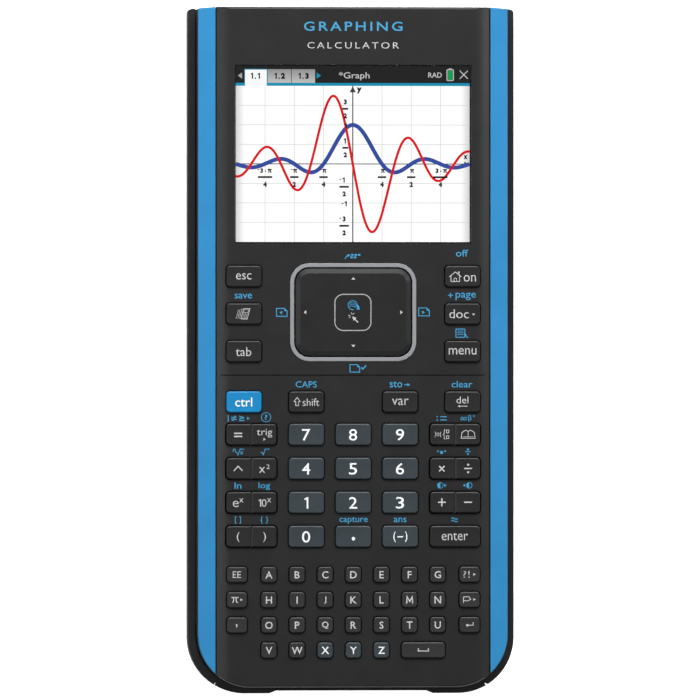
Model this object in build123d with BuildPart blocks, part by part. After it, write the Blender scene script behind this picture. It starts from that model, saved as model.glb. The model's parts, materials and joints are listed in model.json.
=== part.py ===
from build123d import *
from math import asin, cos, degrees
import os

# Graphing calculator with a slide-on cover, lying on its back. The face looks up along +Z, the
# display end is at +Y and +X is to the right of the display. The origin is the middle of the
# cover's flat underside. Every length is in millimetres.

os.makedirs("parts", exist_ok=True)

# ---------------------------------------------------------------- driving dimensions
REACH = 240.0

# handheld, in plan
HALF_WIDTH = 43.2
TOP_Y = 95.4
BOTTOM_Y = -93.75
CORNER_RADIUS = 14.6
TOP_CORNER_DROP = 0.45
TOP_CORNER_RADIUS = 0.6
FACE_HALF_WIDTH = 38.0

# handheld, in height
REAR_Z = 2.0
PARTING_Z = 9.6
SHOULDER_Z = 15.2
FACE_Z = 17.2

# case walls
REAR_FLOOR = 1.6
REAR_SIDE_WALL = 3.1
REAR_INSET = 0.36
REAR_EDGE_FILLET = 1.4
FRONT_WALL = 1.6
FACE_EDGE_FILLET = 0.6
FACE_ROLL_START = 34.0
FACE_ROLL_DROP = 0.7
SEAM_Y = -7.0
SEAM_WIDTH = 0.3
SEAM_DEPTH = 0.4

# side rails
RAIL_GAP = 0.35
RAIL_THICKNESS = 1.4
RAIL_CLEARANCE = 0.06
RAIL_TOP_Z = 16.7
RAIL_EDGE_FILLET = 0.45

# slide cover
COVER_HALF_WIDTH = 45.5
COVER_TOP_Y = 95.05
COVER_BOTTOM_Y = -95.65
COVER_CORNER_RADIUS = 15.6
COVER_HOLLOW_RADIUS = 14.8
COVER_TIP_RADIUS = 1.2
COVER_FLOOR = 1.5
COVER_SIDE_WALL = 2.0
COVER_END_WALL = 1.75
COVER_RIM_Z = 8.6
COVER_EDGE_FILLET = 1.0
LIP_HALF_GAP = 41.95
LIP_Z = 6.4
LIP_HEIGHT = 1.4
LIP_TOP_Y = -3.3
LIP_BOTTOM_Y = -77.0
GROOVE_HALF_GAP = 41.4
GROOVE_Z = 6.1
GROOVE_HEIGHT = 2.0
GROOVE_TOP_Y = 6.0
SCOOP_HALF_WIDTH = 22.9
SCOOP_DEPTH = 0.65
SCOOP_SLANT = 1.7
SCOOP_RIM_Z = 5.2
NICK_X = 38.0
NICK_WIDTH = 0.7
NICK_DEPTH = 0.7

# display
DISPLAY_Y = 54.5
DISPLAY_WIDTH = 65.7
DISPLAY_HEIGHT = 49.5
WINDOW_TOP_Z = 16.85
WINDOW_STEP_Z = 16.0
WINDOW_BOTTOM_Z = 15.2
WINDOW_FLANGE = 2.0
WINDOW_CLEARANCE = 0.1
LCD_TOP_Z = 15.1
LCD_THICKNESS = 1.3
LCD_BORDER = 2.6
BACKLIGHT_THICKNESS = 1.4
BACKLIGHT_BORDER = 3.0
FLEX_WIDTH = 18.0
FLEX_THICKNESS = 0.2
FLEX_LAP = 2.2

# key caps: width, height and corner radius
FUNCTION_KEY = (9.8, 5.85, 1.0)
DIGIT_KEY = (9.9, 5.95, 1.0)
ROCKER_KEY = (14.0, 5.85, 1.0)
LETTER_KEY = (4.35, 4.35, 1.0)
END_KEY = (5.7, 4.35, 1.0)
SPACE_KEY = (12.2, 4.35, 1.0)
KEY_TOP_Z = 18.1
KEY_BOTTOM_Z = 14.2
KEY_GAP = 0.28
KEY_FLANGE = 0.6
KEY_FLANGE_TOP_Z = 15.55
KEY_EDGE_FILLET = 0.42
KEY_DISH = 0.06
ROCKER_GAP = 0.35
ROCKER_PIVOT_Z = 15.0
ROCKER_PIN_RADIUS = 0.4
ROCKER_BORE_RADIUS = 0.46
ROCKER_GROOVE_WIDTH = 0.9
ROCKER_GROOVE_DEPTH = 0.3
ROCKER_WEB_WIDTH = 2.4
ROCKER_WEB_THICKNESS = 1.2
ROCKER_WEB_BOTTOM_Z = 14.0
ROCKER_PIN_END_GAP = 0.12

# key layout
SIDE_COLUMN_X = 30.45
SIDE_TOP_ROW_Y = 20.5
SIDE_ROW_PITCH = 10.43
CONTROL_ROW_Y = -14.4
DIGIT_COLUMN_PITCH = 13.08
DIGIT_TOP_ROW_Y = -23.45
DIGIT_ROW_PITCH = 9.45
ROCKER_COLUMN_X = 28.37
LETTER_PITCH = 7.84
LETTER_TOP_ROW_Y = -62.4
LETTER_ROW_PITCH = 7.0
END_COLUMN_X = 32.4
SPACE_X = 19.5

# touchpad
PAD_Y = 10.5
RING_WIDTH = 35.2
RING_HEIGHT = 27.3
RING_CORNER = 5.4
RING_BAND = 1.15
RING_TOP_Z = 17.45
RING_BOTTOM_Z = 16.4
RING_CLEARANCE = 0.05
PAD_WIDTH = 32.1
PAD_HEIGHT = 24.2
PAD_CORNER = 3.9
PAD_TOP_Z = 17.6
PAD_BOTTOM_Z = 15.9
PAD_BEVEL_WIDTH = 1.3
PAD_BEVEL_DROP = 0.45
SENSOR_WIDTH = 22.6
SENSOR_HEIGHT = 14.8
SENSOR_THICKNESS = 0.8
GIMBAL_Z = 14.2
GIMBAL_PIN_RADIUS = 0.3
GIMBAL_BORE_RADIUS = 0.36
TILT_FRAME_WIDTH = 23.6
TILT_FRAME_HEIGHT = 15.6
TILT_FRAME_BAND = 2.0
TILT_FRAME_TOP_Z = 14.5
TILT_FRAME_BOTTOM_Z = 13.85
LUG_THICKNESS = 1.0
LUG_WIDTH = 2.2
LUG_GAP = 0.35
LUG_MARGIN = 0.65
CARRIER_TOP_Z = 13.3
CARRIER_BOTTOM_Z = 12.8
CARRIER_HEIGHT = 11.6
CARRIER_ARM_HEIGHT = 4.5
POST_X = 18.3
POST_RADIUS = 0.9
POST_BORE_RADIUS = 1.0
POST_BOTTOM_Z = 12.4

# board, mat, battery and fasteners
BOARD_TOP_Z = 12.2
BOARD_THICKNESS = 1.2
BOARD_HALF_WIDTH = 35.2
BOARD_TOP_Y = 91.6
BOARD_BOTTOM_Y = -88.0
BOARD_CHAMFER = 9.0
CHIP_HEIGHT = 1.1
MAT_TOP_Z = 12.9
MAT_TOP_Y = 24.3
MAT_HALF_WIDTH = 34.6
DOME_RADIUS = 1.5
DOME_TOP_Z = 13.35
BATTERY_Y = -34.0
BATTERY_WIDTH = 42.0
BATTERY_LENGTH = 58.0
BATTERY_BOTTOM_Z = 3.4
BATTERY_THICKNESS = 5.6
BATTERY_CLEARANCE = 0.4
BAY_WALL = 1.2
BAY_WALL_TOP_Z = 8.1
DOOR_MARGIN = 2.2
DOOR_TAB = 5.0
DOOR_THICKNESS = 1.2
DOOR_GAP = 0.15
DOOR_SCREW_X = 14.0
DOOR_SCREW_INSET = 3.6
DOOR_BOSS_TOP_Z = 8.0
BOSS_PLACES = ((37.3, 90.2), (37.5, 4.86), (34.0, -86.2))
BOSS_RADIUS = 1.8
REAR_BOSS_RADIUS = 2.5
SCREW_RADIUS = 0.9
SCREW_HEAD_RADIUS = 1.7
SCREW_HEAD_HEIGHT = 1.1
SCREW_SOCKET_RADIUS = 0.8
SCREW_SOCKET_DEPTH = 0.7
SCREW_CLEARANCE = 0.04
SCREW_HEAD_BOTTOM_Z = 2.5
CASE_SCREW_TIP_Z = 13.6
DOOR_SCREW_TIP_Z = 7.4
FOOT_X = 30.0
FOOT_Y = 71.0
FOOT_LENGTH = 14.0
FOOT_WIDTH = 5.0
FOOT_BOTTOM_Z = 1.72
FOOT_RECESS = 0.6

# sockets and light in the ends
USB_WIDTH = 7.7
USB_HEIGHT = 3.9
USB_DEPTH = 8.0
USB_SHELL = 0.35
USB_TONGUE_HEIGHT = 0.9
USB_TONGUE_WIDTH = 4.6
USB_CLEARANCE = 0.1
LIGHT_X = 12.0
LIGHT_Z = 12.9
LIGHT_RADIUS = 0.8
LIGHT_LENGTH = 2.6
DOCK_WIDTH = 16.0
DOCK_HEIGHT = 3.2
DOCK_DEPTH = 4.0
DOCK_Z = 6.6
DOCK_RECESS = 1.2
DOCK_CONTACTS = 5
DOCK_CONTACT_PITCH = 2.4
RESET_HOLE_RADIUS = 0.8
RESET_HOLE_Y = 20.0


# ---------------------------------------------------------------- shared plan shapes
def handheld_plan(inset):
    """Outline of the handheld, moved inwards: nearly square display end, round lower corners."""
    half = HALF_WIDTH - inset
    top = TOP_Y - inset
    bottom = BOTTOM_Y + inset
    with BuildSketch() as plan:
        with BuildLine():
            Polyline(
                (-half, bottom),
                (half, bottom),
                (half, top - TOP_CORNER_DROP),
                (FACE_HALF_WIDTH, top),
                (-FACE_HALF_WIDTH, top),
                (-half, top - TOP_CORNER_DROP),
                close=True,
            )
        make_face()
        fillet(plan.vertices().group_by(Axis.Y)[0], CORNER_RADIUS - inset)
        for side in plan.vertices().group_by(Axis.X)[0], plan.vertices().group_by(Axis.X)[-1]:
            fillet(side.sort_by(Axis.Y)[-1], TOP_CORNER_RADIUS)
    return plan.sketch


def cover_plan(half, top, bottom, radius):
    """Outline of the slide cover or of its hollow: large round corners at the lower end."""
    with BuildSketch() as plan:
        with Locations((0, (top + bottom) / 2)):
            Rectangle(2 * half, top - bottom)
        fillet(plan.vertices().group_by(Axis.Y)[0], radius)
        fillet(plan.vertices().group_by(Axis.Y)[-1], COVER_TIP_RADIUS)
    return plan.sketch


HANDHELD = handheld_plan(0.0)
REAR_OUTLINE = handheld_plan(REAR_INSET)
REAR_HOLLOW = handheld_plan(REAR_INSET + REAR_SIDE_WALL)
SHOULDER_OUTLINE = handheld_plan(RAIL_THICKNESS + RAIL_CLEARANCE)
FRONT_HOLLOW = handheld_plan(RAIL_THICKNESS + RAIL_CLEARANCE + FRONT_WALL)


# ---------------------------------------------------------------- key layout
def key_list():
    """Every key as (node, x, y, size); the node of a rocker ends in rocker."""
    keys = []
    side_names = (("escape", "home"), ("scratchpad", "document"), ("tab", "menu"))
    for row, names in enumerate(side_names):
        for side, name in zip((-1, 1), names):
            y = SIDE_TOP_ROW_Y - row * SIDE_ROW_PITCH
            keys.append((f"{name}_key", side * SIDE_COLUMN_X, y, FUNCTION_KEY))
    control_x = (-SIDE_COLUMN_X, -DIGIT_COLUMN_PITCH, DIGIT_COLUMN_PITCH, SIDE_COLUMN_X)
    for name, x in zip(("control", "shift", "variable", "delete"), control_x):
        keys.append((f"{name}_key", x, CONTROL_ROW_Y, FUNCTION_KEY))
    digit_names = (
        ("digit_7", "digit_8", "digit_9"),
        ("digit_4", "digit_5", "digit_6"),
        ("digit_1", "digit_2", "digit_3"),
        ("digit_0", "decimal_point", "negative_sign"),
    )
    for row, names in enumerate(digit_names):
        for column, name in enumerate(names):
            x = (column - 1) * DIGIT_COLUMN_PITCH
            keys.append((f"{name}_key", x, DIGIT_TOP_ROW_Y - row * DIGIT_ROW_PITCH, DIGIT_KEY))
    left_names = ("equals_trig", "power_square", "exponential", "bracket")
    right_names = ("template_catalog", "multiply_divide", "plus_minus")
    for side, names in ((-1, left_names), (1, right_names)):
        for row, name in enumerate(names):
            y = DIGIT_TOP_ROW_Y - row * DIGIT_ROW_PITCH
            keys.append((f"{name}_rocker", side * ROCKER_COLUMN_X, y, ROCKER_KEY))
    enter_y = DIGIT_TOP_ROW_Y - 3 * DIGIT_ROW_PITCH
    keys.append(("enter_key", ROCKER_COLUMN_X, enter_y, ROCKER_KEY))
    for row in range(3):
        node = f"letter_row_{row + 1}_keys"
        y = LETTER_TOP_ROW_Y - row * LETTER_ROW_PITCH
        keys.append((node, -END_COLUMN_X, y, END_KEY))
        keys.extend((node, (column - 3) * LETTER_PITCH, y, LETTER_KEY) for column in range(7))
        keys.append((node, END_COLUMN_X, y, END_KEY))
    last_y = LETTER_TOP_ROW_Y - 3 * LETTER_ROW_PITCH
    for column in range(5):
        node = "letter_v_w_keys" if column < 2 else "letter_x_y_z_keys"
        keys.append((node, (column - 3) * LETTER_PITCH, last_y, LETTER_KEY))
    keys.append(("space_key", SPACE_X, last_y, SPACE_KEY))
    return keys


KEYS = key_list()
ROCKERS = [key for key in KEYS if key[0].endswith("rocker")]
PRESSED = [key for key in KEYS if not key[0].endswith("rocker")]
WEB_STEPS = (-DIGIT_ROW_PITCH / 2, DIGIT_ROW_PITCH / 2)
WEB_PLACES = sorted({(x, round(y + step, 3)) for _, x, y, _ in ROCKERS for step in WEB_STEPS})
BOSSES = [(side * x, y) for x, y in BOSS_PLACES for side in (-1, 1)]
DOOR_TOP_Y = BATTERY_Y + BATTERY_LENGTH / 2 + DOOR_MARGIN + DOOR_TAB
DOOR_BOTTOM_Y = BATTERY_Y - BATTERY_LENGTH / 2 - DOOR_MARGIN
DOOR_SCREWS = [(side * DOOR_SCREW_X, DOOR_TOP_Y - DOOR_SCREW_INSET) for side in (-1, 1)]
FEET = [(side * FOOT_X, end * FOOT_Y) for side in (-1, 1) for end in (-1, 1)]
USB_Z = BOARD_TOP_Z - BOARD_THICKNESS - USB_HEIGHT / 2
DOCK_BACK_Y = BOTTOM_Y + REAR_INSET + DOCK_RECESS + DOCK_DEPTH


def key_shape(size, margin=0.0):
    """Rounded rectangle of a key cap, widened by margin all round."""
    width, height, radius = size
    RectangleRounded(width + 2 * margin, height + 2 * margin, radius + margin)


def block(x, y, width, height, bottom_z, top_z, mode=Mode.ADD):
    """Upright box given by its middle in plan, its plan size and its lowest and highest z."""
    with Locations((x, y, (bottom_z + top_z) / 2)):
        Box(width, height, top_z - bottom_z, mode=mode)


def post(places, radius, bottom_z, top_z, mode=Mode.ADD):
    """Upright cylinders at several places."""
    with Locations(*((x, y, (bottom_z + top_z) / 2) for x, y in places)):
        Cylinder(radius, top_z - bottom_z, mode=mode)


# ---------------------------------------------------------------- keys
def press_keys(node, caps):
    """Caps that travel straight down: a dished cap over a wider flange that retains it."""
    with BuildPart() as keys:
        with BuildSketch(Plane.XY.offset(KEY_BOTTOM_Z)):
            for x, y, size in caps:
                with Locations((x, y)):
                    key_shape(size)
        extrude(amount=KEY_TOP_Z - KEY_BOTTOM_Z)
        fillet(keys.faces().group_by(Axis.Z)[-1].edges(), KEY_EDGE_FILLET)
        for x, y, (width, height, _) in caps:
            dish_radius = (height / 2) ** 2 / (2 * KEY_DISH)
            with Locations((x, y, KEY_TOP_Z - KEY_DISH + dish_radius)):
                Cylinder(dish_radius, width + 2, rotation=(0, 90, 0), mode=Mode.SUBTRACT)
        with BuildSketch(Plane.XY.offset(KEY_BOTTOM_Z)):
            for x, y, size in caps:
                with Locations((x, y)):
                    key_shape(size, KEY_FLANGE)
        extrude(amount=KEY_FLANGE_TOP_Z - KEY_BOTTOM_Z)
    keys.part.label = node
    export_step(keys.part, f"parts/{node}.step")


def rocker_key(node, x, y, size):
    """A cap of two halves that tips left or right on a pin through its middle."""
    width, height, _ = size
    dish_radius = (height / 2) ** 2 / (2 * KEY_DISH)
    pin_length = DIGIT_ROW_PITCH - 2 * ROCKER_PIN_END_GAP
    with BuildPart() as rocker:
        with BuildSketch(Plane.XY.offset(KEY_BOTTOM_Z)):
            with Locations((x, y)):
                key_shape(size)
        extrude(amount=KEY_TOP_Z - KEY_BOTTOM_Z)
        fillet(rocker.faces().sort_by(Axis.Z)[-1].edges(), KEY_EDGE_FILLET)
        with Locations((x, y, KEY_TOP_Z - KEY_DISH + dish_radius)):
            Cylinder(dish_radius, width + 2, rotation=(0, 90, 0), mode=Mode.SUBTRACT)
        with BuildSketch(Plane.XZ.offset(-y)):
            with BuildLine():
                Polyline(
                    (x - ROCKER_GROOVE_WIDTH / 2, KEY_TOP_Z),
                    (x, KEY_TOP_Z - ROCKER_GROOVE_DEPTH),
                    (x + ROCKER_GROOVE_WIDTH / 2, KEY_TOP_Z),
                    close=True,
                )
            make_face()
        extrude(amount=height, both=True, mode=Mode.SUBTRACT)
        with Locations((x, y, ROCKER_PIVOT_Z)):
            Cylinder(ROCKER_PIN_RADIUS, pin_length, rotation=(90, 0, 0))
    rocker.part.label = node
    export_step(rocker.part, f"parts/{node}.step")


# ---------------------------------------------------------------- front case
def front_case_part():
    """Front shell: face, shoulders under the rails, key wells, display and touchpad openings."""
    roll_width = FACE_HALF_WIDTH - FACE_ROLL_START
    roll_radius = (roll_width**2 + FACE_ROLL_DROP**2) / (2 * FACE_ROLL_DROP)
    with BuildPart() as case:
        with BuildSketch(Plane.XY.offset(PARTING_Z)):
            add(SHOULDER_OUTLINE)
        extrude(amount=SHOULDER_Z - PARTING_Z)
        with BuildSketch(Plane.XY.offset(PARTING_Z)):
            add(HANDHELD)
            Rectangle(2 * FACE_HALF_WIDTH, REACH, mode=Mode.INTERSECT)
        extrude(amount=FACE_Z - PARTING_Z)
        face_edges = case.faces().sort_by(Axis.Z)[-1].edges()
        fillet(face_edges.group_by(Axis.Y)[0] + face_edges.group_by(Axis.Y)[-1], FACE_EDGE_FILLET)
        with BuildSketch(Plane.XZ):
            with BuildLine():
                RadiusArc(
                    (FACE_ROLL_START, FACE_Z), (FACE_HALF_WIDTH, FACE_Z - FACE_ROLL_DROP), roll_radius
                )
                Polyline(
                    (FACE_HALF_WIDTH, FACE_Z - FACE_ROLL_DROP),
                    (FACE_HALF_WIDTH + 1, FACE_Z - FACE_ROLL_DROP),
                    (FACE_HALF_WIDTH + 1, FACE_Z + 1),
                    (FACE_ROLL_START, FACE_Z + 1),
                    (FACE_ROLL_START, FACE_Z),
                )
            make_face()
            mirror(about=Plane.YZ)
        extrude(amount=REACH / 2, both=True, mode=Mode.SUBTRACT)

        # hollow, with the display bed
        with BuildSketch(Plane.XY.offset(PARTING_Z)):
            add(FRONT_HOLLOW)
        extrude(amount=SHOULDER_Z - FRONT_WALL - PARTING_Z, mode=Mode.SUBTRACT)
        with BuildSketch(Plane.XY.offset(PARTING_Z)):
            add(FRONT_HOLLOW)
            Rectangle(2 * (FACE_HALF_WIDTH - FRONT_WALL), REACH, mode=Mode.INTERSECT)
        extrude(amount=FACE_Z - FRONT_WALL - PARTING_Z, mode=Mode.SUBTRACT)
        flange = 2 * (WINDOW_FLANGE + WINDOW_CLEARANCE)
        block(
            0, DISPLAY_Y, DISPLAY_WIDTH + flange, DISPLAY_HEIGHT + flange,
            PARTING_Z, WINDOW_STEP_Z + WINDOW_CLEARANCE / 2, Mode.SUBTRACT,
        )
        block(
            0, DISPLAY_Y, DISPLAY_WIDTH + 2 * WINDOW_CLEARANCE, DISPLAY_HEIGHT + 2 * WINDOW_CLEARANCE,
            PARTING_Z, FACE_Z + 1, Mode.SUBTRACT,
        )

        # key wells, touchpad opening and ring recess
        with BuildSketch(Plane.XY.offset(PARTING_Z)):
            for _, x, y, size in PRESSED:
                with Locations((x, y)):
                    key_shape(size, KEY_GAP)
            for _, x, y, size in ROCKERS:
                with Locations((x, y)):
                    key_shape(size, ROCKER_GAP)
            with Locations((0, PAD_Y)):
                RectangleRounded(
                    RING_WIDTH - 2 * RING_BAND, RING_HEIGHT - 2 * RING_BAND, RING_CORNER - RING_BAND
                )
        extrude(amount=REACH, mode=Mode.SUBTRACT)
        with BuildSketch(Plane.XY.offset(RING_BOTTOM_Z)):
            with Locations((0, PAD_Y)):
                RectangleRounded(
                    RING_WIDTH + 2 * RING_CLEARANCE, RING_HEIGHT + 2 * RING_CLEARANCE, RING_CORNER
                )
        extrude(amount=REACH, mode=Mode.SUBTRACT)
        block(0, SEAM_Y, REACH, SEAM_WIDTH, FACE_Z - SEAM_DEPTH, FACE_Z + 1, Mode.SUBTRACT)

        # inside: screw bosses, touchpad posts and the webs that carry the rockers' pins
        inner_z = FACE_Z - FRONT_WALL
        post(BOSSES, BOSS_RADIUS, PARTING_Z, SHOULDER_Z - 0.1)
        post(BOSSES, SCREW_RADIUS + SCREW_CLEARANCE, PARTING_Z, CASE_SCREW_TIP_Z + 0.2, Mode.SUBTRACT)
        post(((-POST_X, PAD_Y), (POST_X, PAD_Y)), POST_RADIUS, POST_BOTTOM_Z, inner_z + 0.1)
        for x, y in WEB_PLACES:
            block(x, y, ROCKER_WEB_WIDTH, ROCKER_WEB_THICKNESS, ROCKER_WEB_BOTTOM_Z, inner_z + 0.1)
            with Locations((x, y, ROCKER_PIVOT_Z)):
                Cylinder(
                    ROCKER_BORE_RADIUS, 2 * ROCKER_WEB_THICKNESS, rotation=(90, 0, 0), mode=Mode.SUBTRACT
                )

        # display end: upper half of the USB opening and the hole for the status light
        block(
            0, TOP_Y, USB_WIDTH + 2 * USB_CLEARANCE, 4 * FRONT_WALL,
            PARTING_Z, USB_Z + USB_HEIGHT / 2 + USB_CLEARANCE, Mode.SUBTRACT,
        )
        with Locations((LIGHT_X, TOP_Y, LIGHT_Z)):
            Cylinder(LIGHT_RADIUS + SCREW_CLEARANCE, 4 * FRONT_WALL, rotation=(90, 0, 0), mode=Mode.SUBTRACT)
    return case


# ---------------------------------------------------------------- side rails
def side_rail_part(side):
    """Coloured strip that wraps the shoulder: a top plate and a side wall, in one moulding."""
    inner_x = FACE_HALF_WIDTH + RAIL_GAP
    with BuildPart() as rail:
        with BuildSketch(Plane.XY.offset(PARTING_Z)):
            add(HANDHELD)
            with Locations((side * (inner_x + REACH / 2), 0)):
                Rectangle(REACH, REACH, mode=Mode.INTERSECT)
        extrude(amount=RAIL_TOP_Z - PARTING_Z)
        top_edges = rail.faces().sort_by(Axis.Z)[-1].edges()
        inner_edge = top_edges.sort_by(Axis.X)[0 if side > 0 else -1]
        fillet([edge for edge in top_edges if edge != inner_edge], RAIL_EDGE_FILLET)
        with BuildSketch(Plane.XY.offset(PARTING_Z)):
            add(handheld_plan(RAIL_THICKNESS))
        extrude(amount=SHOULDER_Z + RAIL_CLEARANCE - PARTING_Z, mode=Mode.SUBTRACT)
        block(0, 0, 2 * inner_x, REACH, 0, REACH, Mode.SUBTRACT)
    return rail


# ---------------------------------------------------------------- rear case
def rear_case_part():
    """Rear tray: side grooves for the cover, battery bay, screw bosses and foot recesses."""
    floor_z = REAR_Z + REAR_FLOOR
    door_mid_y = (DOOR_TOP_Y + DOOR_BOTTOM_Y) / 2
    with BuildPart() as case:
        with BuildSketch(Plane.XY.offset(REAR_Z)):
            add(REAR_OUTLINE)
        extrude(amount=PARTING_Z - REAR_Z)
        fillet(case.faces().sort_by(Axis.Z)[0].edges(), REAR_EDGE_FILLET)
        with BuildSketch(Plane.XY.offset(floor_z)):
            add(REAR_HOLLOW)
        extrude(amount=PARTING_Z, mode=Mode.SUBTRACT)
        with Locations(
            *(
                (side * (GROOVE_HALF_GAP + 5), GROOVE_TOP_Y - REACH / 2, GROOVE_Z + GROOVE_HEIGHT / 2)
                for side in (-1, 1)
            )
        ):
            Box(10, REACH, GROOVE_HEIGHT, mode=Mode.SUBTRACT)

        # screw bosses, each with a deep counterbore from below
        post(BOSSES, REAR_BOSS_RADIUS, floor_z - 0.1, PARTING_Z)
        post(BOSSES, SCREW_RADIUS + SCREW_CLEARANCE, 0, PARTING_Z + 1, Mode.SUBTRACT)
        head_top = SCREW_HEAD_BOTTOM_Z + SCREW_HEAD_HEIGHT
        post(BOSSES, SCREW_HEAD_RADIUS + 0.1, 0, head_top, Mode.SUBTRACT)

        # battery bay: walls round the pack, then its opening and the door's recess
        bay_width = BATTERY_WIDTH + 2 * BATTERY_CLEARANCE
        bay_length = BATTERY_LENGTH + 2 * BATTERY_CLEARANCE
        walls = 2 * BAY_WALL
        block(0, BATTERY_Y, bay_width + walls, bay_length + walls, floor_z - 0.1, BAY_WALL_TOP_Z)
        block(0, BATTERY_Y, bay_width, bay_length, 0, PARTING_Z, Mode.SUBTRACT)
        post(DOOR_SCREWS, REAR_BOSS_RADIUS, floor_z - 0.1, DOOR_BOSS_TOP_Z)
        block(
            0, door_mid_y, BATTERY_WIDTH + 2 * (DOOR_MARGIN + DOOR_GAP),
            DOOR_TOP_Y - DOOR_BOTTOM_Y + 2 * DOOR_GAP, 0, REAR_Z + DOOR_THICKNESS, Mode.SUBTRACT,
        )
        post(DOOR_SCREWS, SCREW_RADIUS + SCREW_CLEARANCE, 0, DOOR_SCREW_TIP_Z + 0.2, Mode.SUBTRACT)

        # underside: foot recesses and reset hole
        for x, y in FEET:
            block(x, y, FOOT_WIDTH + 0.1, FOOT_LENGTH + 0.1, 0, REAR_Z + FOOT_RECESS, Mode.SUBTRACT)
        post(((0, RESET_HOLE_Y),), RESET_HOLE_RADIUS, 0, floor_z + 1, Mode.SUBTRACT)

        # ends: lower half of the USB opening, and the dock socket's opening
        block(
            0, TOP_Y, USB_WIDTH + 2 * USB_CLEARANCE, 4 * REAR_SIDE_WALL,
            USB_Z - USB_HEIGHT / 2 - USB_CLEARANCE, PARTING_Z + 1, Mode.SUBTRACT,
        )
        block(
            0, BOTTOM_Y, DOCK_WIDTH + 0.1, 4 * REAR_SIDE_WALL,
            DOCK_Z - DOCK_HEIGHT / 2 - 0.05, DOCK_Z + DOCK_HEIGHT / 2 + 0.05, Mode.SUBTRACT,
        )
    return case


# ---------------------------------------------------------------- slide cover
def slide_cover_part():
    """Tray that stores on the back: open display end, side lips, thumb scoop in the closed end."""
    with BuildPart() as cover:
        with BuildSketch():
            add(cover_plan(COVER_HALF_WIDTH, COVER_TOP_Y, COVER_BOTTOM_Y, COVER_CORNER_RADIUS))
        extrude(amount=COVER_RIM_Z)
        with BuildSketch():
            with BuildLine():
                Polyline(
                    (-SCOOP_HALF_WIDTH, COVER_BOTTOM_Y - 1),
                    (-SCOOP_HALF_WIDTH, COVER_BOTTOM_Y),
                    (-SCOOP_HALF_WIDTH + SCOOP_SLANT, COVER_BOTTOM_Y + SCOOP_DEPTH),
                    (SCOOP_HALF_WIDTH - SCOOP_SLANT, COVER_BOTTOM_Y + SCOOP_DEPTH),
                    (SCOOP_HALF_WIDTH, COVER_BOTTOM_Y),
                    (SCOOP_HALF_WIDTH, COVER_BOTTOM_Y - 1),
                    close=True,
                )
            make_face()
        extrude(amount=REACH, mode=Mode.SUBTRACT)
        bottom_edges = cover.faces().sort_by(Axis.Z)[0].edges()
        fillet(bottom_edges, COVER_EDGE_FILLET)
        with BuildSketch(Plane.XY.offset(COVER_FLOOR)):
            add(
                cover_plan(
                    COVER_HALF_WIDTH - COVER_SIDE_WALL,
                    REACH / 2,
                    COVER_BOTTOM_Y + COVER_END_WALL,
                    COVER_HOLLOW_RADIUS,
                )
            )
        extrude(amount=REACH, mode=Mode.SUBTRACT)
        for side in (-1, 1):
            block(
                side * (LIP_HALF_GAP + COVER_HALF_WIDTH - 0.5) / 2, (LIP_TOP_Y + LIP_BOTTOM_Y) / 2,
                COVER_HALF_WIDTH - 0.5 - LIP_HALF_GAP, LIP_TOP_Y - LIP_BOTTOM_Y, LIP_Z, LIP_Z + LIP_HEIGHT,
            )

        # small notches in the corners' outside
        corner_mid = COVER_HALF_WIDTH - COVER_CORNER_RADIUS
        notch_angle = asin((NICK_X - corner_mid) / COVER_CORNER_RADIUS)
        notch_y = COVER_BOTTOM_Y + COVER_CORNER_RADIUS * (1 - cos(notch_angle))
        for side in (-1, 1):
            with Locations(Location((side * NICK_X, notch_y, 0), (0, 0, side * degrees(notch_angle)))):
                Box(NICK_WIDTH, 2 * NICK_DEPTH, REACH, mode=Mode.SUBTRACT)

        # the end wall is lower in the scoop
        scoop_flat = 2 * (SCOOP_HALF_WIDTH - SCOOP_SLANT)
        block(0, COVER_BOTTOM_Y, scoop_flat, 2 * COVER_END_WALL + 1, SCOOP_RIM_Z, REACH, Mode.SUBTRACT)
    return cover


# ---------------------------------------------------------------- build: shells
front_case = front_case_part()
front_case.part.label = "front_case"
export_step(front_case.part, "parts/front_case.step")

rear_case = rear_case_part()
rear_case.part.label = "rear_case"
export_step(rear_case.part, "parts/rear_case.step")

slide_cover = slide_cover_part()
slide_cover.part.label = "slide_cover"
export_step(slide_cover.part, "parts/slide_cover.step")

for rail_side, rail_name in ((-1, "left_side_rail"), (1, "right_side_rail")):
    side_rail = side_rail_part(rail_side)
    side_rail.part.label = rail_name
    export_step(side_rail.part, f"parts/{rail_name}.step")

# ---------------------------------------------------------------- build: keys
for node_name in dict.fromkeys(key[0] for key in PRESSED):
    press_keys(node_name, [key[1:] for key in PRESSED if key[0] == node_name])
for rocker in ROCKERS:
    rocker_key(*rocker)

# ---------------------------------------------------------------- build: display
# clear window, stepped so that its flange sits under the face
with BuildPart() as display_window:
    block(
        0, DISPLAY_Y, DISPLAY_WIDTH + 2 * WINDOW_FLANGE, DISPLAY_HEIGHT + 2 * WINDOW_FLANGE,
        WINDOW_BOTTOM_Z, WINDOW_STEP_Z,
    )
    block(0, DISPLAY_Y, DISPLAY_WIDTH, DISPLAY_HEIGHT, WINDOW_STEP_Z, WINDOW_TOP_Z)
display_window.part.label = "display_window"
export_step(display_window.part, "parts/display_window.step")

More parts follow.
